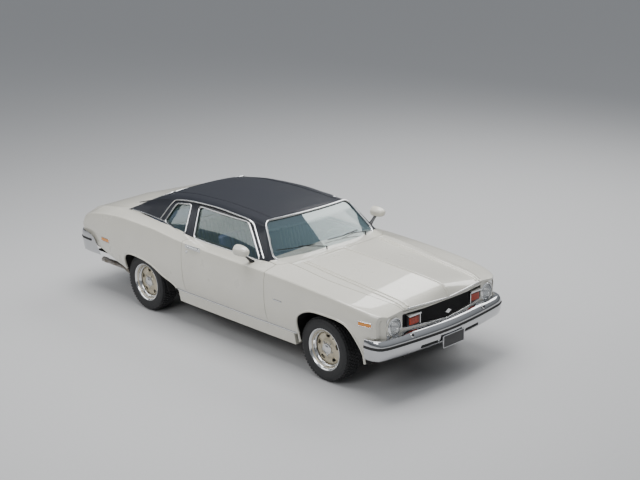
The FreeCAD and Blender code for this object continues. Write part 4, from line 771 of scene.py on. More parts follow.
def along_pillar(points):
    """A line on the roof's side, from (y, z) points."""
    return [(at(pillar_x(y, z), y, z), Vector((1, 0, PILLAR_LEAN))) for y, z in points]


def fine(points, step=30, closed=False):
    """Points spaced along a run of straight lines."""
    out = []
    ring = list(points) + ([points[0]] if closed else [])
    for a, b in zip(ring, ring[1:]):
        a, b = Vector(a), Vector(b)
        parts = max(1, round((b - a).length / step))
        out += [a.lerp(b, k / parts) for k in range(parts)]
    return out if closed else out + [Vector(points[-1])]


def grown(outline, margin):
    """A closed outline, moved outwards by a margin."""
    out = []
    count = len(outline)
    area = sum(Vector(a).x * Vector(b).y - Vector(b).x * Vector(a).y
               for a, b in zip(outline[-1:] + outline[:-1], outline))
    for i in range(count):
        run = (Vector(outline[(i + 1) % count]) - Vector(outline[i - 1])).normalized()
        side = Vector((run.y, -run.x)) * (1 if area > 0 else -1)
        out.append(Vector(outline[i]) + side * margin)
    return out


def on_front(outline):
    """A closed line on the windshield's plane, from (x, z) points."""
    return [(at(x, windshield_y(x, z), z), Vector((0, -0.7, 0.6))) for x, z in outline]


def on_rear(outline):
    return [(at(x, rear_window_y(x, z), z), Vector((0, 0.5, 0.9))) for x, z in outline]


screen_line = on_front(grown(fine(windshield_outline, 60, True), 9))
moulding("windshield_moulding", [screen_line], 20, 8, chrome, "body", "chrome", True)
moulding("rear_window_moulding", [on_rear(grown(fine(rear_outline, 60, True), 9))], 20, 8, chrome, "body",
         "chrome", True)
moulding("quarter_window_moulding", both_sides(along_pillar(grown(fine(quarter_outline, 40, True), 7))), 18,
         9, chrome, "body", "chrome", True)
door_rim = along_pillar(grown(fine(door_glass_outline, 40, True), 7))
drip_points = [(930, 1000), (1120, 1157), (1260, 1272), (1332, 1294), (1560, 1308), (1782, 1320),
               (2000, 1317), (2227, 1308), (2440, 1284), (2530, 1262), (2580, 1222), (2640, 1120),
               (2690, 1034)]
drip = [(at(pillar_x(p.x, min(p.y, edge_line(p.x) - 26)) + 2, p.x, p.y - 10), Vector((1, 0, 0.2)))
        for p in smooth_line(drip_points, 40)]
moulding("drip_rails", both_sides(drip), 15, 11, chrome, "body", "chrome", sink=6)
for side, line in zip("lr", both_sides(door_rim)):
    moulding("door_window_moulding_" + side, [line], 19, 9, chrome, "door_" + side, "chrome", True)

# Body lines and lips: low ridges pressed in the hood and rolled lips round the wheel openings, in
# the body's paint, with a bright lip moulding at the hood's front edge and one along each rocker.
ridge_y = [NOSE + 66 + k * 1388 / 40 for k in range(41)]
centre_ridge = [(at(0, y, middle_z(y) - 1.5), Vector((0, -0.2, 1))) for y in ridge_y]
ridge_x = through([(NOSE + 66, 500), (NOSE + 140, 530), (NOSE + 380, 541), (92, 552), (640, 548)])
outer_ridge = [(at(ridge_x(y), y, top_z(ridge_x(y), y) - 1), Vector((0, -0.1, 1))) for y in ridge_y[2:]]
moulding("hood_centre_ridge", [centre_ridge], 22, 11, paint, "hood_panel", "body_paint", sink=3)
inner_ridge = [(at(ridge_x(y) - 44, y, top_z(ridge_x(y) - 44, y) - 1), Vector((0, -0.1, 1)))
               for y in ridge_y[2:]]
moulding("hood_outer_ridges", both_sides(outer_ridge) + both_sides(inner_ridge), 20, 11, paint, "hood_panel",
         "body_paint", sink=3)
front_lip = along_side(ARCH_FRONT[1:-1], -3)
rear_lip = along_side([p for p in ARCH_REAR if p[1] > SILL_TOP], -3)
moulding("wheel_opening_lips", both_sides(front_lip) + both_sides(rear_lip), 24, 10, paint, "body",
         "body_paint", sink=4)
hood_front = [(x, y + 3) for x, y in nose_curve if x < 520]
hood_lip = [(at(x, y, top_z(x, y + 6) - 9), Vector((0, -1, 0.35))) for x, y in hood_front]
hood_lip = [(opposite(p), n) for p, n in hood_lip[:0:-1]] + hood_lip
moulding("hood_lip_moulding", [hood_lip], 12, 6, chrome, "hood_panel", "chrome", sink=3)
rocker = along_side(fine([(345, 404), (2190, 404)], 80), -1)
moulding("rocker_mouldings", both_sides(rocker), 20, 6, chrome, "body", "chrome", sink=3)

# The bumpers: heavy steel pressings, chromium plated, bolted to the frame by brackets, with a
# black rubber strip let into the face. The front one follows the pointed nose.
rubber = textured(node_material("black_rubber", (0.012, 0.012, 0.012), 0.6), GRAIN, (0.010, 0.010, 0.010),
                  (0.022, 0.021, 0.02), Scale=90, Rough_Low=0.5, Rough_High=0.75, Bump=0.15)
plated = textured(node_material("bumper_plate", (0.60, 0.60, 0.61), 0.06, 1.0), GRAIN, (0.63, 0.63, 0.63),
                  (0.52, 0.53, 0.55), Scale=9, Rough_Low=0.03, Rough_High=0.10, Bump=0.006, Depth=0.0004)


def bumper_line(points):
    """The bar's plan line from end to end: (place with its depth share, normal) pairs."""
    half = [Vector(p) for p in points]
    path = smooth_line(half + [opposite(p) for p in half[-2::-1]], 45)
    last = len(path) - 1
    runs = [(path[min(i + 1, last)] - path[max(i - 1, 0)]).to_2d().normalized() for i in range(last + 1)]
    return [(p, Vector((run.y, -run.x))) for p, run in zip(path, runs)]


def pressed_bar(name, line, outer, wall, shelf=0.0):
    """A channel-section bar: an outer face of (depth, z) points with a wall behind it."""
    face = [Vector(p) for p in smooth_line(outer, 9)]
    back = []
    for i, p in enumerate(face):
        run = (face[min(i + 1, len(face) - 1)] - face[max(i - 1, 0)]).normalized()
        back.append(p + Vector((-run.y, run.x)) * wall)
    rings = []
    for p, n in line:
        raised = shelf * min(max((640 - abs(p.x)) / 90, 0), 1)
        rings.append([at(p.x + n.x * q.x * p.z, p.y + n.y * q.x * p.z,
                         q.y + raised * max(q.x - 30, 0) * (q.y > 560)) for q in face + back[::-1]])
    return thing(name, tube_mesh(rings))


FRONT_TOP, FRONT_LOW = 604, 410
front_line = bumper_line([
    (906, -590, 0.3), (902, -680, 0.4), (880, -745, 0.6), (800, -795, 1), (516, -838, 1), (250, -864, 1),
    (0, NOSE + 4, 1)])
front_face = [
    (96, FRONT_TOP + 2), (62, FRONT_TOP + 2), (34, FRONT_TOP), (12, FRONT_TOP - 22), (1, FRONT_TOP - 48),
    (3, FRONT_TOP - 88), (2, FRONT_TOP - 100), (9, FRONT_TOP - 150), (26, FRONT_LOW + 8), (40, FRONT_LOW)]
front_bar = pressed_bar("front_bumper_bar", front_line, front_face, 5, 0.42)
finish_piece(front_bar, plated, "body", "chrome", "front_bumper")
FRONT_STRIP, REAR_STRIP, STRIP_SUNK = 536, 622, 2
strip = [(at(p.x + n.x * STRIP_SUNK * p.z, p.y + n.y * STRIP_SUNK * p.z, FRONT_STRIP),
          Vector((-n.x, -n.y, 0))) for p, n in front_line]
moulding("front_bumper_strip", [strip], 27, 7, rubber, "body", "trim_dark", sink=2)
REAR_TOP, REAR_LOW = 704, 478
rear_points = [
    (900, TAIL - 455, 0.2), (899, TAIL - 200, 0.2), (872, TAIL - 84, 0.5), (780, TAIL - 30, 1),
    (400, TAIL - 8, 1), (0, TAIL - 2, 1)]
rear_face = [
    (60, REAR_TOP - 8), (28, REAR_TOP), (8, REAR_TOP - 24), (1, REAR_TOP - 56), (1, REAR_TOP - 98),
    (10, REAR_TOP - 150), (26, REAR_LOW + 6), (38, REAR_LOW)]
REAR_END_CUT = [(3500, 440), (3588, 440), (3600, 505), (3690, 655), (3740, 684), (3860, 712), (3860, 800),
                (3500, 800)]
rear_bar = pressed_bar("rear_bumper_bar", bumper_line([(x, y, -s) for x, y, s in rear_points]), rear_face, -5)
carve(rear_bar, [side_block(REAR_END_CUT, -OUTSIDE)])
finish_piece(rear_bar, plated, "body", "chrome", "rear_bumper")
strip = [(at(p.x, p.y, REAR_STRIP), Vector((n.x, n.y, 0))) for p, n in bumper_line(rear_points) if p.y > 3690]
moulding("rear_bumper_strip", [strip], 27, 7, rubber, "body", "trim_dark", sink=2)


def turns(count):
    """Evenly spaced angles of a full turn."""
    return [2 * math.pi * k / count for k in range(count)]


def lathe(profile, centre, axis, segments=48):
    """A closed turned form from a closed (along, radius) profile about an axis."""
    axis = Vector(axis).normalized()
    side = axis.orthogonal().normalized()
    other = axis.cross(side)
    work = bmesh.new()
    rows = []
    for a in turns(segments):
        out = side * math.cos(a) + other * math.sin(a)
        rows.append([work.verts.new(centre + axis * (p[0] / 1000) + out * (p[1] / 1000)) for p in profile])
    count = len(profile)
    for i in range(segments):
        a, b = rows[i], rows[(i + 1) % segments]
        for j in range(count):
            m = (j + 1) % count
            work.faces.new((a[j], b[j], b[m], a[m]))
    bmesh.ops.remove_doubles(work, verts=work.verts, dist=1e-5)
    bmesh.ops.dissolve_degenerate(work, edges=work.edges, dist=1e-6)
    bmesh.ops.recalc_face_normals(work, faces=work.faces)
    return work


def soft_box(x0, x1, y0, y1, z0, z1, bevel, segments=3):
    """A block with rolled edges; its two places across the car may come in either order."""
    x0, x1 = sorted((x0, x1))
    work = bmesh.new()
    bmesh.ops.create_cube(work, size=1)
    low, high = at(x0, y0, z0), at(x1, y1, z1)
    for v in work.verts:
        v.co = Vector(((low + high) / 2)[i] + v.co[i] * (high - low)[i] for i in range(3))
    bmesh.ops.bevel(work, geom=list(work.edges), offset=bevel / 1000, segments=segments, profile=0.6,
                    affect="EDGES")
    return work


guards, tips = [], []
for s in (1, -1):
    guards.append(lathe([(-20, 0), (-18, 26), (8, 25), (24, 19), (32, 9), (34, 0)], at(s * 509, -806, 578),
                        (0, -0.35, 1), 28))
    tips.append(lathe([(-4, 0), (-3, 12), (8, 12), (12, 8), (13, 0)], at(s * 509, -826, 596),
                      (0, -0.9, 0.35), 20))
make("bumper_guards", guards, plated, "body", "chrome")
make("bumper_guard_tips", tips, rubber, "body", "trim_dark")
# A near-black: painted shade in the bumper's slots, and the battery case's own black.
dark = textured(node_material("slot_shade_and_battery_black", (0.004, 0.004, 0.004), 0.7), GRAIN, (0.003, 0.003, 0.003),
                (0.008, 0.008, 0.008), Scale=40, Rough_Low=0.6, Rough_High=0.9)
# The slots are flat dark strips on the bumper's face, not openings: painted shade where their insides would
# be.
for sign, name in ((1, "bumper_slot_left"), (-1, "bumper_slot_right")):
    run = [(at(p.x, p.y + 8, 458), Vector((-n.x, -n.y, 0))) for p, n in front_line if 195 < sign * p.x < 450]
    moulding(name, [run], 34, 2.5, dark, "body", "trim_dark", sink=6)
PLATE_LOW, PLATE_HIGH, PLATE_HALF = 372, 496, 150
plate_bars = [(-PLATE_HALF, PLATE_HALF, PLATE_HIGH - 7, PLATE_HIGH),
              (-PLATE_HALF, PLATE_HALF, PLATE_LOW, PLATE_LOW + 7),
              (-PLATE_HALF, 7 - PLATE_HALF, PLATE_LOW, PLATE_HIGH),
              (PLATE_HALF - 7, PLATE_HALF, PLATE_LOW, PLATE_HIGH)]
plate_metal = textured(node_material("blank_plate", (0.03, 0.03, 0.032), 0.35, 0.2), GRAIN,
                       (0.03, 0.03, 0.032), (0.05, 0.05, 0.052), Scale=30, Rough_Low=0.25, Rough_High=0.4,
                       Bump=0.05)
plate = soft_box(3 - PLATE_HALF, PLATE_HALF - 3, -884, -878, PLATE_LOW + 3, PLATE_HIGH - 3, 3)
make("plate_blank", plate, plate_metal, "body", "chrome")
plate_frame = join_meshes([soft_box(x0, x1, -888, -876, z0, z1, 2) for x0, x1, z0, z1 in plate_bars])
make("plate_frame", plate_frame, plated, "body", "chrome")

# The front lamps: round sealed-beam lamps in bright bezels, and ribbed turn lamps with a bright
# hood over each, let into the ends of the black grille of fine upright and cross bars.
lens = node_material("clear_lens", (0.92, 0.93, 0.92), 0.05, IOR=1.8, Alpha=0.16)
lens_tree = lens.node_tree
flute, flute_bump, flute_place = (lens_tree.nodes.new("ShaderNode" + kind)
                                  for kind in ("TexWave", "Bump", "TexCoord"))
flute.bands_direction = "X"
preset(flute, Scale=24)
preset(flute_bump, Strength=0.6, Distance=0.002)
wire(lens_tree, (flute_place, "Object", flute, "Vector"), (flute, "Fac", flute_bump, "Height"),
     (flute_bump, 0, lens_tree.nodes["Principled BSDF"], "Normal"))
LAMP_X, LAMP_Y, LAMP_Z, LAMP_HOLE = 655, NOSE + 150, 694, 88
bezels, reflectors, lenses = [], [], []
for s in (1, -1):
    place = at(s * LAMP_X, LAMP_Y, LAMP_Z)
    bezels.append(lathe([(20, 70), (14, 78), (14, 84), (4, 92), (-10, 92), (-16, 86), (0, 78), (10, 72)],
                        place, (0, -1, 0), 48))
    reflectors.append(lathe([(12, 70), (-6, 66), (-30, 50), (-48, 24), (-54, 0), (-60, 0), (-54, 30),
                             (-34, 56), (-8, 72)], place, (0, -1, 0), 48))
    lenses.append(lathe([(8, 71), (14, 66), (20, 44), (24, 20), (25, 0), (19, 0), (14, 44), (6, 66)], place,
                        (0, -1, 0), 48))
make("headlamp_bezels", bezels, chrome, "body", "chrome", "front_lamps")
make("headlamp_reflectors", reflectors, chrome, "body", "chrome")
make("headlamp_lenses", lenses, lens, "body", "lamp_lens")
surrounds = []
for s in (1, -1):
    ring = [Vector((s * LAMP_X + p[0], LAMP_Z + p[1]))
            for p in rounded_outline([(-97, -92), (97, -92), (92, 96), (-94, 92)], 26)]
    hole = [Vector((s * LAMP_X + LAMP_HOLE * math.cos(a), LAMP_Z + LAMP_HOLE * math.sin(a)))
            for a in turns(40)]
    plate = thing("surround", front_block(ring, LAMP_Y - 2, LAMP_Y + 8))
    carve(plate, [front_block(hole, LAMP_Y - 40, LAMP_Y + 60)])
    surrounds.append(mesh_of(plate))
    bpy.data.objects.remove(plate)
make("headlamp_surrounds", surrounds, chrome, "body", "chrome")


def nose_y(x, setback=0):
    """How far forward the nose stands at a place across the car."""
    x = abs(x)
    for (xa, ya), (xb, yb) in zip(nose_curve, nose_curve[1:]):
        if x <= xb:
            return ya + (yb - ya) * (x - xa) / (xb - xa) + setback
    return nose_curve[-1][1] + setback


grille_black = textured(node_material("grille_plastic", (0.010, 0.010, 0.011), 0.38), GRAIN,
                        (0.008, 0.008, 0.009), (0.018, 0.018, 0.019), Scale=80, Rough_Low=0.3,
                        Rough_High=0.5, Bump=0.1)


def grille_limits(x):
    """The lowest and highest place of the grille at a place across the car."""
    share = abs(x) / 560
    return 628 + 30 * share + 8, 806 - 20 * share - 8


TURN_X = 436
bars = []
for k in range(-43, 44):
    x = k * 12.8
    if abs(abs(x) - TURN_X) >= 82:
        bars.append(soft_box(x - 1.6, x + 1.6, nose_y(x, 14), nose_y(x, 34), *grille_limits(x), 0.8, 1))
for z in (640 + k * 12.2 for k in range(14)):
    for x0, x1 in ((-556, -518), (-352, -176), (-176, 0), (0, 176), (176, 352), (518, 556)):
        if all(low - 4 <= z <= high + 4 for low, high in (grille_limits(x0), grille_limits(x1))):
            bars.append(tube_mesh([[at(x, nose_y(x, d), z + h)
                                    for d, h in ((17, -1.5), (17, 1.5), (32, 1.5), (32, -1.5))]
                                   for x in (x0, x1)]))
# A black sheet closes the grille from behind: painted shade for the dark space behind the bars.
back = []
for x in range(-560, 561, 80):
    low, high = grille_limits(x)
    back.append([at(x, nose_y(x, d), z) for d, z in ((34, low - 12), (34, high + 10), (38, high + 10),
                                                     (38, low - 12))])
bars.append(tube_mesh(back))
make("grille_bars", bars, grille_black, "body", "grille_black", "grille")
lower_rim = [(at(x, nose_y(x, 8), grille_limits(x)[0] - 10), Vector((0, -1, 0.2)))
             for x in range(-556, 557, 32)]
moulding("grille_lower_moulding", [lower_rim], 12, 7, chrome, "body", "chrome", sink=3)
amber = textured(node_material("turn_lens", (0.50, 0.03, 0.006), 0.12, IOR=1.5, Coat_Weight=0.6), GRAIN,
                 (0.56, 0.028, 0.006), (0.44, 0.05, 0.008), Scale=24, Rough_Low=0.08, Rough_High=0.2,
                 Bump=0.02)
boxes, housings, hoods, ribs = [], [], [], []
for s in (1, -1):
    x0 = s * TURN_X
    y0 = nose_y(x0)
    housings.append(soft_box(x0 - 77, x0 + 77, y0 + 2, y0 + 52, 660, 764, 4))
    boxes.append(soft_box(x0 - 60, x0 + 60, y0 - 8, y0 + 40, 672, 740, 6))
    for k in range(6):
        ribs.append(soft_box(x0 - 58, x0 + 58, y0 - 12, y0 - 4, 676 + k * 11.5, 680 + k * 11.5, 1.5, 2))
    hoods.append(soft_box(x0 - 80, x0 + 80, y0 - 26, y0 + 50, 758, 776, 6))
    hoods.append(soft_box(x0 - s * 80, x0 - s * 70, y0 - 14, y0 + 50, 662, 764, 3))
make("turn_lamps", boxes + ribs, amber, "body", "tail_lens")
make("turn_lamp_boxes", housings, grille_black, "body", "grille_black")
make("turn_lamp_hoods", hoods, chrome, "body", "chrome")
badge = tube_mesh([[at(x, NOSE + y, z)
                    for x, z in rounded_outline([(-44, 691), (0, 668), (44, 691), (0, 714)], 9)]
                   for y in (66, 80)])
make("grille_badge", badge, chrome, "body", "chrome")

# The wheels: pressed steel discs with five slots, painted silver with a warm tint, welded into
# rolled rims. A wide bright trim ring and a bright cap are pressed in, and five nuts hold each.
def repeat_tree():
    """Geometry Nodes that repeat a shape round the car's cross axis and set the ring at a centre."""
    tree = bpy.data.node_groups.new("repeat_round", "GeometryNodeTree")
    face = tree.interface
    face.new_socket("Geometry", in_out="INPUT", socket_type="NodeSocketGeometry")
    for label, kind in (("Count", "Int"), ("First Turn", "Float"), ("Centre", "Vector"),
                        ("Finish", "Material")):
        face.new_socket(label, in_out="INPUT", socket_type="NodeSocket" + kind)
    face.new_socket("Geometry", in_out="OUTPUT", socket_type="NodeSocketGeometry")
    given, result, points, index = (tree.nodes.new(kind) for kind in (
        "NodeGroupInput", "NodeGroupOutput", "GeometryNodePoints", "GeometryNodeInputIndex"))
    pitch, turn, whole = (tree.nodes.new("ShaderNodeMath") for _ in range(3))
    pitch.operation, turn.operation, whole.operation = "DIVIDE", "MULTIPLY", "ADD"
    pitch.inputs[0].default_value = 2 * math.pi
    angles, spread, shift, real, finish = (tree.nodes.new(kind) for kind in (
        "ShaderNodeCombineXYZ", "GeometryNodeInstanceOnPoints", "GeometryNodeTransform",
        "GeometryNodeRealizeInstances", "GeometryNodeSetMaterial"))
    wire(tree, (given, "Count", points, "Count"), (given, "Count", pitch, 1), (index, 0, turn, 0),
         (pitch, 0, turn, 1), (turn, 0, whole, 0), (given, "First Turn", whole, 1), (whole, 0, angles, 0),
         (points, 0, spread, "Points"), (given, "Geometry", spread, "Instance"),
         (angles, 0, spread, "Rotation"), (spread, 0, shift, "Geometry"),
         (given, "Centre", shift, "Translation"), (shift, 0, real, 0), (real, 0, finish, "Geometry"),
         (given, "Finish", finish, "Material"), (finish, 0, result, 0))
    return tree


REPEAT_ROUND = repeat_tree()


def repeated_round(name, part, count, centre, mat, first=0.0):
    """A part made about the cross axis through the origin, repeated round a centre as one plain mesh."""
    obj = thing(name, part)
    spread = obj.modifiers.new("repeat", "NODES")
    spread.node_group = REPEAT_ROUND
    keys = {item.name: item.identifier for item in REPEAT_ROUND.interface.items_tree
            if item.in_out == "INPUT"}
    spread[keys["Count"]] = count
    spread[keys["First Turn"]] = first
    spread[keys["Centre"]] = centre
    spread[keys["Finish"]] = mat
    bpy.context.view_layer.update()
    done = bpy.data.meshes.new_from_object(obj.evaluated_get(bpy.context.evaluated_depsgraph_get()))
    obj.modifiers.remove(spread)
    obj.data = done
    return obj


def hub_mesh(profile, side, segments=96):
    """A turned form about the cross axis through the origin, from (outward, radius) points."""
    return lathe(profile, Vector((0, 0, 0)), (side, 0, 0), segments)


def shifted(mesh, place):
    bmesh.ops.translate(mesh, vec=place, verts=mesh.verts)
    return mesh


wheel_silver = textured(node_material("wheel_silver", (0.52, 0.48, 0.40), 0.3, 0.55, Coat_Weight=0.5,
                                      Coat_Roughness=0.15), GRAIN, (0.62, 0.56, 0.43), (0.50, 0.44, 0.32),
                        Scale=22, Rough_Low=0.24, Rough_High=0.42, Bump=0.03, Depth=0.0004)
nut_steel = textured(node_material("nut_steel", (0.6, 0.6, 0.58), 0.25, 1.0), GRAIN, (0.62, 0.62, 0.60),
                     (0.45, 0.44, 0.42), Scale=60, Rough_Low=0.18, Rough_High=0.4, Bump=0.05)
cap_steel = textured(node_material("cap_steel", (0.78, 0.78, 0.77), 0.16, 1.0), GRAIN, (0.80, 0.80, 0.79),
                     (0.66, 0.66, 0.66), Scale=30, Rough_Low=0.12, Rough_High=0.26, Bump=0.01)
TRACK_HALF, AXLE_Z = 750, 318
DISC_PROFILE = [(37, 0), (37, 50), (44, 56), (47, 64), (46, 76), (40, 90), (35, 98), (33, 108), (34, 128),
                (33, 148), (29, 158), (20, 167), (8, 175), (0, 177), (0, 170), (14, 160), (22, 150),
                (24, 128), (23, 108), (25, 98), (30, 88), (35, 76), (34, 62), (26, 50), (26, 0)]
RIM_PROFILE = [(84, 206), (88, 202), (84, 194), (66, 181), (30, 177), (0, 177), (-30, 180), (-56, 184),
               (-76, 194), (-84, 200), (-84, 206.2), (-78, 204), (-60, 191), (-30, 186), (10, 184),
               (56, 186), (70, 190), (79, 202)]
RING_PROFILE = [(30, 168), (37, 163), (43, 166), (48, 173), (62, 179), (64, 182), (78, 189), (88, 197),
                (92, 203), (91, 208), (86, 210), (84, 205), (76, 193), (58, 184), (42, 179)]
CAP_PROFILE = [(36, 55), (44, 59), (56, 57), (60, 51), (61, 43), (59, 39), (60, 33), (64, 26), (65, 12),
               (65, 0), (36, 0)]


def slot_outline(turn, margin):
    """A wheel slot's closed line, as (across the tread line, up) about the hub."""
    long, deep = 33 + margin, 17 + margin
    flat = rounded_outline([(-long, -deep), (long, -deep), (long * 0.86, deep), (-long * 0.86, deep)],
                           12 + margin)
    out = []
    for p in flat:
        bow = 126 - p.y - 0.0028 * p.x * p.x
        reach = turn + p.x / 150
        out.append(Vector((0, bow * math.sin(reach), bow * math.cos(reach))))
    return out


CORNERS = (("front_left", 1, 0, "roll_fl"), ("front_right", -1, 0, "roll_fr"),
           ("rear_left", 1, WHEELBASE, "roll_rl"), ("rear_right", -1, WHEELBASE, "roll_rr"))
SLOT_TURNS = turns(5)
disc = thing("disc", hub_mesh(DISC_PROFILE, 1, 100))
carve(disc, [tube_mesh([[v / 1000 + Vector((x, 0, 0)) for v in slot_outline(turn, 0)] for x in (0.01, 0.08)])
             for turn in SLOT_TURNS])
for corner, side, y, body in CORNERS:
    hub = at(side * TRACK_HALF, y, AXLE_Z)
    work = mesh_of(disc)
    if side < 0:
        mirrored(work)
    steel = join_meshes([work, hub_mesh(RIM_PROFILE, side)])
    make("wheel_disc_" + corner, shifted(steel, hub), wheel_silver, body, "wheel_metal", "wheel_" + corner)
    lips = [[(hub + v / 1000 + Vector((side * 0.034, 0, 0)), Vector((side, 0, 0)))
             for v in slot_outline(turn, 4)] for turn in SLOT_TURNS]
    moulding("slot_lips_" + corner, lips, 8, 4.5, wheel_silver, body, "wheel_metal", True, sink=3)
    make("trim_ring_" + corner, shifted(hub_mesh(RING_PROFILE, side), hub), chrome, body, "chrome")
    make("hub_cap_" + corner, shifted(hub_mesh(CAP_PROFILE, side, 64), hub), cap_steel, body, "chrome")
    nut = lathe([(40, 0), (40, 10.5), (50, 10.5), (54, 8), (56, 4), (57, 0)], Vector((0, 0, 0.071)),
                (side, 0, 0), 6)
    nuts = repeated_round("wheel_nuts_" + corner, nut, 5, hub, nut_steel, math.pi / 5)
    finish_piece(nuts, None, body, "wheel_metal", angle=20)
    stem = lathe([(30, 0), (30, 4.5), (52, 4), (54, 5.5), (64, 5.5), (66, 3), (66, 0)],
                 Vector((0, 0, 0.160)), (side, 0, -0.12), 14)
    bmesh.ops.rotate(stem, cent=(0, 0, 0), matrix=Matrix.Rotation(math.pi / 5, 3, "X"), verts=stem.verts)
    make("valve_stem_" + corner, shifted(stem, hub), rubber, body, "tyre")
bpy.data.objects.remove(disc)

# The tyres: black rubber on steel cords, with fine ribs moulded in the side and a tread of five
# rows of blocks. They are pressed on the rims and held by air.
tyre_rubber = textured(node_material("tyre_rubber", (0.018, 0.018, 0.019), 0.62), GRAIN,
                       (0.014, 0.014, 0.015), (0.030, 0.030, 0.031), Scale=46, Rough_Low=0.5,
                       Rough_High=0.75, Bump=0.12, Depth=0.0006)
half_tyre = [(84, 207), (88, 209), (92, 214), (92.5, 219), (95, 222), (97.5, 234), (99.5, 250), (100, 262),
             (101, 263), (101, 267), (99.5, 268), (98.5, 280), (95, 292), (91, 300), (85, 306.5), (80, 308)]
TYRE_PROFILE = half_tyre + [(-x, r) for x, r in half_tyre[::-1]]
TREAD_ROWS = ((-64, 0.5), (-32, 0.0), (0, 0.5), (32, 0.0), (64, 0.5))
TREAD_COUNT = 58
for corner, side, y, body in CORNERS:
    hub = at(side * TRACK_HALF, y, AXLE_Z)
    carcass = shifted(hub_mesh(TYRE_PROFILE, side, 128), hub)
    make("tyre_carcass_" + corner, carcass, tyre_rubber, body, "tyre", "tyre_" + corner)
    blocks = []
    for x, share in TREAD_ROWS:
        block = soft_box(x - 13, x + 13, CAR_MIDDLE - 14, CAR_MIDDLE + 14, 304, 317.6, 1.6, 1)
        turn = Matrix.Rotation(share * 2 * math.pi / TREAD_COUNT, 3, "X")
        bmesh.ops.rotate(block, cent=(0, 0, 0), matrix=turn, verts=block.verts)
        blocks.append(block)
    for s in (1, -1):
        block = soft_box(s * 87 - 7, s * 87 + 7, CAR_MIDDLE - 11, CAR_MIDDLE + 11, 290, 308.5, 2, 1)
        bmesh.ops.rotate(block, cent=Vector((s * 0.087, 0, 0.3)), matrix=Matrix.Rotation(s * 0.5, 3, "Y"),
                         verts=block.verts)
        blocks.append(block)
    tread = repeated_round("tyre_tread_" + corner, join_meshes(blocks), TREAD_COUNT, hub, tyre_rubber)
    finish_piece(tread, None, body, "tyre")

# The seats: foam on springs under blue pleated vinyl, with sewn channels from front to back, a
# plain roll round the edge and welts where the panels are joined. The front bench has split backs.
seat_blue = textured(node_material("seat_vinyl_blue", (0.03, 0.06, 0.16), 0.36, Coat_Weight=0.3,
                                   Coat_Roughness=0.3), PEBBLE, (0.022, 0.045, 0.13), (0.045, 0.08, 0.19),
                     Scale=500, High=0.7, Rough_Low=0.34, Rough_High=0.52, Bump=0.35, Depth=0.0004)
welt_blue = textured(node_material("welt_vinyl", (0.03, 0.06, 0.15), 0.4), PEBBLE, (0.028, 0.055, 0.13),
                     (0.05, 0.09, 0.2), Scale=600, High=0.7, Rough_Low=0.35, Rough_High=0.5, Bump=0.2,
                     Depth=0.0003)


PLEAT_PITCH, PLEAT_DEPTH, CROWN, END_ROLL, PLAIN_EDGE = 50, 20, 10, 46, 70


def pleated(name, outline, radii, x0, x1, facing):
    """A padded form across the car: a rounded side outline, pleated where it faces the sitter."""
    line = [Vector(p) for p in fine(rounded_outline(outline, radii, 6), 14, True)]
    line = [p for i, p in enumerate(line) if (p - line[i - 1]).length > 2]
    count = len(line)
    facing = Vector(facing).normalized()
    normals = []
    for i in range(count):
        run = (line[(i + 1) % count] - line[i - 1]).normalized()
        normals.append(Vector((run.y, -run.x)))
    if sum((line[i - 1].x * line[i].y - line[i].x * line[i - 1].y) for i in range(count)) < 0:
        normals = [-n for n in normals]
    middle, half = (x0 + x1) / 2, (x1 - x0) / 2
    steps = int((x1 - x0) / 5)
    rings = []
    for k in range(steps + 1):
        x = x0 + (x1 - x0) * k / steps
        edge = min(x - x0, x1 - x)
        roll = END_ROLL - math.sqrt(max(END_ROLL ** 2 - (END_ROLL - edge) ** 2, 0)) if edge < END_ROLL else 0
        place = (abs(x - middle) / PLEAT_PITCH) % 1
        inward = half - abs(x - middle)
        channel = PLEAT_DEPTH * (1 - math.sin(math.pi * place)) ** 2 if inward > PLAIN_EDGE else 0
        if abs(inward - PLAIN_EDGE) < 4:
            channel = PLEAT_DEPTH * 0.8
        ring = []
        for p, n in zip(line, normals):
            seen = min(max((n.dot(facing) - 0.55) / 0.35, 0), 1)
            lift = CROWN * (1 - ((x - middle) / half) ** 2)
            q = p + n * (seen * (lift - channel) - roll * 0.8)
            ring.append(at(x, q.x, q.y))
        rings.append(ring)
    return thing(name, tube_mesh(rings))


FRONT_CUSHION = [(1126, 308), (1596, 288), (1612, 440), (1118, 482)]
FRONT_BACK = [(1566, 330), (1664, 312), (1782, 1028), (1708, 1040), (1562, 490)]
REAR_CUSHION = [(2086, 274), (2376, 274), (2494, 446), (2510, 494), (2078, 512)]
REAR_BACK = [(2486, 462), (2538, 462), (2696, 914), (2640, 945), (2590, 934), (2470, 520)]
seat_plan = [
    ("front_cushion", FRONT_CUSHION, [40, 30, 40, 50], -660, 660, (-0.05, 1), "front_seat"),
    ("front_back_left", FRONT_BACK, [30, 30, 30, 34, 30], 8, 655, (-1, 0.2), None),
    ("front_back_right", FRONT_BACK, [30, 30, 30, 34, 30], -655, -8, (-1, 0.2), None),
    ("rear_cushion", REAR_CUSHION, [30, 30, 30, 30, 50], -586, 586, (-0.05, 1), "rear_seat"),
    ("rear_back", REAR_BACK, [16, 16, 24, 24, 26, 20], -586, 586, (-1, 0.2), None)]
for name, outline, radii, x0, x1, facing, node in seat_plan:
    seat = pleated(name, outline, radii, x0, x1, facing)
    finish_piece(seat, seat_blue, "body", "seat_vinyl", *([node] if node else []), angle=60)
    line = [Vector(p) for p in rounded_outline(outline, radii, 6)]
    ends = ((x0 + PLAIN_EDGE, -1), (x1 - PLAIN_EDGE, 1))
    welts = [[(at(x, p.x, p.y), Vector((s, 0, 0))) for p in line] for x, s in ends]
    moulding(name + "_welts", welts, 9, 5, welt_blue, "body", "seat_vinyl", True, sink=12)

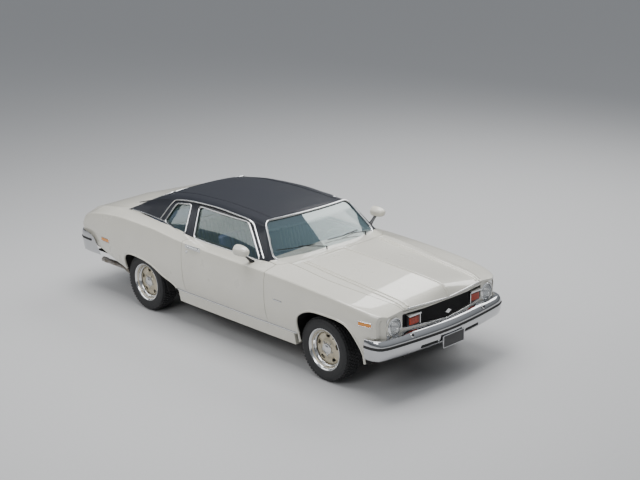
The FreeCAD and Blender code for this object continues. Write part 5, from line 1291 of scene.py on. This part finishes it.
# The cabin: a cloth headliner stretched under the roof, vinyl door and side trims with an armrest,
# a padded dashboard with three round dials in a black face, and a mirror on a stalk.
cloth_pale = textured(node_material("headliner_cloth", (0.20, 0.24, 0.30), 0.9), GRAIN, (0.18, 0.22, 0.28),
                      (0.24, 0.28, 0.34), Scale=300, Rough_Low=0.8, Rough_High=0.95, Bump=0.2, Depth=0.0004)
liner_rings = []
for k in range(27):
    y = 1340 + 50 * k
    lower, upper = ([roof_point(y, 0.44 + 0.56 * j / 12, -drop) for j in range(13)] for drop in (44, 40))
    lower, upper = (half + [opposite(v) for v in half[-2::-1]] for half in (lower, upper))
    liner_rings.append(upper + lower[::-1])
make("headliner", tube_mesh(liner_rings), cloth_pale, "body", "seat_vinyl")
trim_vinyl = textured(node_material("door_trim_vinyl", (0.05, 0.09, 0.2), 0.45), PEBBLE, (0.04, 0.075, 0.17),
                      (0.07, 0.12, 0.25), Scale=500, High=0.7, Rough_Low=0.36, Rough_High=0.55, Bump=0.3,
                      Depth=0.0004)
TRIM_SIDE = rounded_outline([(790, 430), (2010, 430), (2010, 925), (790, 915)], 26)
TRIM_FACE = 738
for side, flip in (("l", 1), ("r", -1)):
    trim = join_meshes([
        side_block(TRIM_SIDE, flip * TRIM_FACE, flip * (TRIM_FACE + 15)),
        soft_box(flip * 690, flip * 742, 1330, 1790, 660, 720, 18),
        soft_box(flip * 726, flip * 752, 800, 2000, 905, 938, 12)])
    make("door_trim_" + side, trim, trim_vinyl, "door_" + side, "seat_vinyl")
    inward = Vector((-flip, 0, 0))
    ribs = [[(at(flip * TRIM_FACE, y - 60 * t, 580 + 200 * t), inward) for t in (0, 0.25, 0.5, 0.75, 1)]
            for y in range(820, 1973, 48)]
    moulding("door_trim_pleats_" + side, ribs, 44, 7, seat_blue, "door_" + side, "seat_vinyl", sink=2)
    beads = [[(at(flip * TRIM_FACE, y, z), inward) for y in range(830, 1991, 40)] for z in (560, 800)]
    moulding("door_trim_beads_" + side, beads, 9, 4, chrome, "door_" + side, "chrome")
REAR_TRIM_SIDE = rounded_outline([(2056, 430), (2424, 430), (2424, 488), (2474, 622), (2560, 668),
                                  (2560, 965), (2056, 965)], 10)
rear_trims = join_meshes([side_block(REAR_TRIM_SIDE, *sorted((s * 704, s * 716))) for s in (1, -1)])
make("rear_side_trims", rear_trims, trim_vinyl, "body", "seat_vinyl")
dash_blue = textured(node_material("dash_vinyl", (0.02, 0.035, 0.08), 0.55), PEBBLE, (0.018, 0.03, 0.07),
                     (0.035, 0.055, 0.11), Scale=450, High=0.7, Rough_Low=0.45, Rough_High=0.65, Bump=0.3,
                     Depth=0.0004)
DIALS, DIAL_Y, DIAL_Z, MARK_RADIUS = (255, 385, 515), 1058, 843, 31
make("dial_hood", soft_box(170, 600, 960, 1075, 905, 958, 18), dash_blue, "body", "trim_dark")
dial_face = soft_box(185, 585, 1030, DIAL_Y, 780, 905, 6)
make("dial_face", dial_face, trim_black, "body", "trim_dark")
DIAL_RIM = [(0, 36), (4, 42), (9, 42), (12, 39), (8, 36)]
dial_rims = join_meshes([lathe(DIAL_RIM, at(x, DIAL_Y, DIAL_Z), (0, 1, 0), 40) for x in DIALS])
make("dial_rims", dial_rims, chrome, "body", "chrome")
dial_white = textured(node_material("dial_marks", (0.6, 0.6, 0.55), 0.5), GRAIN, (0.6, 0.6, 0.56),
                      (0.5, 0.5, 0.46), Scale=90, Rough_Low=0.4, Rough_High=0.6)
needles = [soft_box(x - 1.5, x + 1.5, DIAL_Y, DIAL_Y + 3, DIAL_Z, DIAL_Z + 28, 0.6, 1) for x in DIALS]
for x in DIALS:
    for k in range(11):
        a = math.radians(-130 + 26 * k)
        cx, cz = x + MARK_RADIUS * math.sin(a), DIAL_Z + MARK_RADIUS * math.cos(a)
        needles.append(soft_box(cx - 1.4, cx + 1.4, DIAL_Y - 1, DIAL_Y + 2, cz - 1.4, cz + 1.4, 0.5, 1))
make("dial_marks", needles, dial_white, "body", "trim_dark")
glass_mirror = textured(node_material("mirror_glass", (0.75, 0.77, 0.78), 0.04, 1.0), GRAIN,
                        (0.76, 0.78, 0.79), (0.70, 0.72, 0.73), Scale=3, Rough_Low=0.03, Rough_High=0.06,
                        Bump=0.002)
mirror_case = join_meshes([soft_box(-130, 130, 1120, 1140, 1180, 1240, 9),
                           soft_box(-7, 7, 1090, 1125, 1215, 1268, 4)])
make("cabin_mirror", mirror_case, trim_black, "body", "trim_dark")
make("cabin_mirror_glass", soft_box(-122, 122, 1138, 1142, 1186, 1234, 6), glass_mirror, "body", "chrome")

# The door mirrors: bullet shells of zinc in body colour with a round glass at the back, on a dark
# cast foot screwed to the door. The handles are bright pulls over a dished plate, with a lock.
SHELL_LINE = [(112, 0), (110, 11), (103, 24), (90, 36), (68, 46), (40, 53), (8, 57), (-30, 58), (-53, 56),
              (-55, 53), (-53, 50), (-45, 49), (-45, 0)]
DISC_LINE = [(-44, 0), (-44, 48.5), (-48, 48.5), (-49, 44), (-49, 0)]
LOCK_LINE = [(-4, 0), (-4, 17), (4, 17), (7, 14), (7, 8), (3, 7), (3, 0)]
MIRROR_Y, PULL_Z, PLATE_FACE = 1030, 930, side_x(1850, 926)
PULL_LINE = [Vector((PLATE_FACE + rise, y)) for rise, y in (
    (-5, 1752), (12, 1772), (15, 1790), (15, 1925), (12, 1945), (-5, 1968))]
for side, flip in (("l", 1), ("r", -1)):
    door = "door_" + side
    head = at(flip * 955, MIRROR_Y, 1098)
    make("mirror_shell_" + side, lathe(SHELL_LINE, head, (0, -1, 0), 48), paint, door, "body_paint")
    make("mirror_disc_" + side, lathe(DISC_LINE, head, (0, -1, 0), 40), glass_mirror, door, "chrome")
    stalk_rings = []
    for t, reach, deep in ((0, 22, 34), (0.12, 18, 30), (0.5, 10, 22), (0.85, 9, 19), (1, 10, 20)):
        x, z = 812 + 122 * t, 950 + 112 * t
        stalk_rings.append([at(flip * (x - reach * 0.6 * math.sin(a)), MIRROR_Y + deep * math.cos(a),
                               z + reach * 0.8 * math.sin(a)) for a in turns(20)])
    make("mirror_foot_" + side, tube_mesh(stalk_rings), trim_black, door, "trim_dark")
    pull = tube_mesh([[at(flip * (p.x + 6 * math.cos(a)), p.y, PULL_Z + 12 * math.sin(a)) for a in turns(14)]
                      for p in PULL_LINE])
    dish = soft_box(flip * (PLATE_FACE - 4), flip * (PLATE_FACE + 3.5), 1738, 1984, 908, 952, 3)
    lock = lathe(LOCK_LINE, at(flip * side_x(1955, 880), 1955, 876), (flip, 0, 0), 28)
    make("door_handle_" + side, [pull, dish, lock], chrome, door, "chrome")

# The small outside parts: side marker lamps in bright frames, a plain bright bar on each fender,
# the vinyl's seams and the bright strip along its lower edge.
marker_amber = textured(node_material("marker_amber", (0.72, 0.28, 0.02), 0.15, Coat_Weight=0.7), GRAIN,
                        (0.78, 0.32, 0.03), (0.66, 0.2, 0.02), Scale=60, Rough_Low=0.1, Rough_High=0.25,
                        Bump=0.05)


def side_lamp(y0, y1, z0, z1, proud):
    """A lens that follows the body's side, and the closed line round it."""
    ys = [y0 + (y1 - y0) * k / 6 for k in range(7)]
    middle = (z0 + z1) / 2
    rings = [[at(side_x(y, middle) + d, y, z)
              for d, z in ((-8, z0), (proud * 0.6, z0), (proud, middle), (proud * 0.6, z1), (-8, z1))]
             for y in ys]
    line = [(at(side_x(y, middle) + 1, y, z), Vector((1, 0, 0))) for y, z in
            fine(rounded_outline([(y0, z0), (y1, z0), (y1, z1), (y0, z1)], 6), 20, True)]
    return tube_mesh(rings), line


for name, place in (("front_markers", (-644, -502, 714, 754)), ("rear_markers", (3396, 3556, 656, 696))):
    lens_mesh, frame_line = side_lamp(*place, 6)
    marker = thing(name, lens_mesh)
    mirror_twin(marker)
    finish_piece(marker, marker_amber, "body", "tail_lens")
    moulding(name + "_frames", both_sides(frame_line), 6, 6, chrome, "body", "chrome", True)
bar_line = [(at(side_x(y, 690) + 1, y, 690), Vector((1, 0, 0))) for y in range(500, 621, 20)]
moulding("fender_bars", both_sides(bar_line), 16, 4, chrome, "body", "chrome")


def vinyl_foot(y):
    """Where the roof's side meets the top of the body: the height at a place along the car."""
    z = 1040
    for _ in range(12):
        z += 0.6 * (top_z(pillar_x(y, z), y) - z)
    return z


edge_run = []
for y in list(range(2560, 3221, 30)) + [3232]:
    z = vinyl_foot(y) + 7
    edge_run.append((at(pillar_x(y, z) + 1, y, z), Vector((1, 0, 0.4))))
moulding("vinyl_edge_moulding", both_sides(edge_run), 14, 7, chrome, "body", "chrome", sink=5)
for share, y0, y1 in ((0.62, 1090, 2740), (0.36, 2640, 3180)):
    seam = [(roof_point(y, share, 0.5), (roof_point(y, share, 30) - roof_point(y, share, 0)).normalized())
            for y in range(y0, y1, 30)]
    moulding(f"vinyl_seam_{round(share * 100)}", both_sides(seam), 9, 2.6, vinyl, "body", "vinyl_roof")

# The tail: ribbed red lamps with a clear reversing pane, each pair in a bright frame on the tail
# panel, a blank plate between them, and a round lock in the deck lid.
tail_set = through([(622, -114), (700, -108), (764, -92), (831, -116), (905, -176)])


def tail_y(z):
    return TAIL + tail_set(z)


tail_red = textured(node_material("tail_red", (0.42, 0.008, 0.008), 0.12, Coat_Weight=0.8), GRAIN,
                    (0.46, 0.008, 0.008), (0.34, 0.01, 0.008), Scale=50, Rough_Low=0.08, Rough_High=0.2,
                    Bump=0.03)


def tail_pane(x0, x1, z0, z1, proud):
    x0, x1 = sorted((x0, x1))
    zs = [z0 + (z1 - z0) * k / 10 for k in range(11)]
    ring = [(tail_y(z) + proud * math.sin(math.pi * (0.12 + 0.76 * k / 10)), z) for k, z in enumerate(zs)]
    ring += [(tail_y(z) - 10, z) for z in zs[::-1]]
    return side_block(ring, x0, x1)


red, clear, frames, cross = [], [], [], []
for s in (1, -1):
    for x0, x1 in ((332, 476), (492, 638)):
        red.append(tail_pane(s * x0, s * x1, 722, 820, 8))
        outline = fine(rounded_outline([(s * x0, 718), (s * x1, 718), (s * x1, 824), (s * x0, 824)], 9), 16,
                       True)
        frames.append([(at(p.x, tail_y(p.y) + 2, p.y), Vector((0, 1, 0))) for p in outline])
        for k in range(1, 6):
            z = 722 + 98 * k / 6
            rear = tail_y(z)
            cross.append(soft_box(s * (x0 + 2), s * (x1 - 2), rear + 4, rear + 11, z - 1.6, z + 1.6, 1, 1))
    clear.append(tail_pane(s * 348, s * 398, 750, 792, 13))
make("tail_lamp_lenses", red + cross, tail_red, "body", "tail_lens", "tail_lamps")
reverse_lens = textured(node_material("reverse_lens", (0.75, 0.77, 0.77), 0.15, Coat_Weight=0.5), GRAIN,
                        (0.78, 0.80, 0.80), (0.66, 0.68, 0.68), Scale=70, Rough_Low=0.1, Rough_High=0.25,
                        Bump=0.1)
make("reverse_lamps", clear, reverse_lens, "body", "lamp_lens")
moulding("tail_lamp_frames", frames, 10, 9, chrome, "body", "chrome", True)
make("rear_plate_blank", soft_box(-152, 152, tail_y(770) + 2, tail_y(770) + 8, 712, 832, 3), plate_metal,
     "body", "chrome")
lock_place = at(0, tail_y(870) + 3, 868)
make("deck_lock", lathe([(-6, 0), (-6, 19), (2, 19), (5, 16), (6, 9), (3, 8), (3, 0)], lock_place,
                        (0, 1, 0.35), 32), chrome, "body", "chrome")

# The engine bay: a painted block with pressed valve covers, a round air cleaner, pulleys, belts, a
# fan and a generator on its nose, and moulded hoses to the radiator. A battery stands on its tray.
engine_paint = textured(node_material("engine_enamel", (0.35, 0.07, 0.02), 0.4), GRAIN, (0.38, 0.075, 0.022),
                        (0.24, 0.05, 0.02), Scale=24, Rough_Low=0.3, Rough_High=0.55, Bump=0.1)
covers = [soft_box(s * 140, s * 258, 30, 560, 858, 908, 20, 4) for s in (1, -1)]
covers += [soft_box(-120, 120, 60, 540, 862, 880, 10)]
make("valve_covers", covers, engine_paint, "body", "engine_metal")
cleaner = [(0, 0), (0, 90), (6, 96), (6, 150), (10, 172), (18, 176), (44, 176), (50, 172), (54, 150),
           (60, 60), (62, 24), (70, 22), (74, 10), (74, 0)]
make("air_cleaner", lathe(cleaner, at(0, 250, 872), (0, 0, 1), 64), trim_black, "body", "engine_metal")
make("air_cleaner_nut", lathe([(70, 0), (70, 14), (78, 14), (82, 8), (82, 0)], at(0, 250, 872), (0, 0, 1),
                              12), nut_steel, "body", "engine_metal")
pulley = [(0, 0), (0, 78), (8, 82), (12, 74), (16, 82), (24, 78), (24, 30), (40, 28), (40, 0)]
pulleys = [lathe(pulley, at(0, -20, z), (0, -1, 0), 40) for z in (470, 650)]
pulleys.append(lathe([(-90, 0), (-90, 56), (-80, 62), (4, 62), (10, 40), (26, 38), (26, 0)],
                     at(205, -20, 730), (0, -1, 0), 36))
make("front_pulleys", pulleys, nut_steel, "body", "engine_metal")
belts = []
for ends in (((0, 470, 80), (0, 650, 80)), ((0, 650, 80), (205, 730, 42))):
    (xa, za, _), (xb, zb, _) = ends
    lean = math.atan2(zb - za, xb - xa)
    run = [(x + r * math.cos(lean + back + math.pi * k / 16),
            z + r * math.sin(lean + back + math.pi * k / 16)) for x, z, r,
           back in ((*ends[0], math.pi / 2), (*ends[1], -math.pi / 2)) for k in range(17)]
    centre = Vector(((xa + xb) / 2, (za + zb) / 2))
    belts.append([(at(x, -32, z), Vector((x - centre.x, 0, z - centre.y))) for x, z in run])
moulding("fan_belts", belts, 9, 6, rubber, "body", "engine_metal", True, sink=3)
blades = [lathe([(38, 0), (38, 40), (48, 40), (48, 0)], at(0, -20, 650), (0, -1, 0), 30)]
for turn in turns(6):
    blade = soft_box(-34, 34, CAR_MIDDLE - 2, CAR_MIDDLE + 2, 30, 200, 3, 2)
    for angle, axis in ((0.5, "Z"), (turn, "Y")):
        bmesh.ops.rotate(blade, cent=(0, 0, 0), matrix=Matrix.Rotation(angle, 3, axis), verts=blade.verts)
    blades.append(shifted(blade, at(0, -66, 650)))
make("cooling_fan", blades, cap_steel, "body", "engine_metal")


def hose_mesh(points, radius):
    """A round tube along a smooth line of (x, y, z) places."""
    line = smooth_line(points, 20)
    rings = []
    for i, p in enumerate(line):
        run = (line[min(i + 1, len(line) - 1)] - line[max(i - 1, 0)]).normalized()
        side = run.cross(Vector((0, 0, 1)) if abs(run.z) < 0.9 else Vector((1, 0, 0))).normalized()
        up = side.cross(run)
        rings.append([at(*(p + (side * math.cos(a) + up * math.sin(a)) * radius)) for a in turns(14)])
    return tube_mesh(rings)


hoses = [hose_mesh([(60, 20, 850), (70, -60, 880), (190, -300, 870), (240, -470, 850), (240, -560, 835)], 24),
         hose_mesh([(-120, -10, 480), (-170, -120, 450), (-250, -400, 430), (-260, -560, 440)], 22)]
make("radiator_hoses", hoses, rubber, "body", "engine_metal")
tank = join_meshes([soft_box(-420, 420, -606, -538, 838, 876, 14),
                    soft_box(-420, 420, -606, -538, 392, 428, 14)])
tank = join_meshes([tank, lathe([(0, 0), (0, 26), (14, 28), (18, 22), (18, 0)], at(-120, -572, 872),
                                (0, 0, 1), 24)])
make("radiator_tanks", tank, trim_black, "body", "engine_metal")
battery = join_meshes([soft_box(-600, -430, -520, -280, 640, 800, 6),
                       soft_box(-606, -424, -526, -274, 628, 650, 4)]
                      + [lathe([(0, 0), (0, 13), (12, 13), (12, 0)], at(-515 + 50 * k, -490, 798), (0, 0, 1),
                               16) for k in (-1, 1)])
make("battery", battery, dark, "body", "engine_metal")
tray = soft_box(-640, -424, -545, -274, 612, 630, 3)
make("battery_tray", tray, trim_black, "body", "chassis_metal")
DOWN = Vector((0, 0, -1))


def under_hood(x, y):
    return top_z(x, y) - PANEL_WALL + 2


brace = [[(at(x * (0.8 + 0.2 * k / 20), y, under_hood(x, y)), DOWN)
          for k, y in enumerate(range(-560, 481, 52))] for x in (-380, 0, 380)]
brace += [[(at(x, y, under_hood(x, y)), DOWN) for x in range(-440, 441, 40)] for y in (-560, 480)]
moulding("hood_braces", brace, 70, 16, paint, "hood_panel", "body_paint", sink=3)

# What shows of the rest is the CAD model's own pieces, left where they are: steel panels, frame,
# axle and exhaust that are welded or bolted on, the cast knuckles, the carpeted shelf, the padded
# dashboard and steering wheel, and the wipers. Each gets its finish here.
steel_black = textured(node_material("frame_paint", (0.015, 0.015, 0.016), 0.55), GRAIN,
                       (0.012, 0.012, 0.013), (0.035, 0.032, 0.03), Scale=18, Rough_Low=0.45, Rough_High=0.7,
                       Bump=0.1)
under_black = textured(node_material("under_coat", (0.014, 0.014, 0.015), 0.85), GRAIN,
                       (0.010, 0.010, 0.011), (0.028, 0.026, 0.024), Scale=90, Rough_Low=0.75,
                       Rough_High=0.95, Bump=0.3)
exhaust_steel = textured(node_material("exhaust_steel", (0.35, 0.33, 0.30), 0.42, 0.9), GRAIN,
                         (0.40, 0.38, 0.35), (0.20, 0.15, 0.11), Scale=16, Low=0.4, High=0.75,
                         Rough_Low=0.35, Rough_High=0.65, Bump=0.1)
hub_iron = textured(node_material("hub_iron", (0.16, 0.15, 0.14), 0.5, 0.85), GRAIN, (0.18, 0.17, 0.16),
                    (0.10, 0.07, 0.05), Scale=30, Low=0.4, High=0.8, Rough_Low=0.4, Rough_High=0.7, Bump=0.1)
carpet = textured(node_material("floor_carpet", (0.02, 0.035, 0.075), 0.95), GRAIN, (0.018, 0.03, 0.065),
                  (0.035, 0.055, 0.10), Scale=400, Rough_Low=0.9, Rough_High=1.0, Bump=0.5, Depth=0.001)
NODE_FINISH = {"front_panel": paint, "tail_panel": paint, "sills": paint, "floor_pan": under_black,
               "wheelhouses": under_black, "parcel_shelf": carpet, "dashboard": dash_blue,
               "steering_wheel": dash_blue, "wipers": trim_black, "front_subframe": steel_black,
               "engine": engine_paint, "radiator": steel_black, "rear_axle": steel_black,
               "exhaust": exhaust_steel, "fuel_tank": steel_black, "knuckle_left": hub_iron,
               "knuckle_right": hub_iron}
for node, mat in NODE_FINISH.items():
    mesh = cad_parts[node].data
    mesh.materials.clear()
    mesh.materials.append(mat)
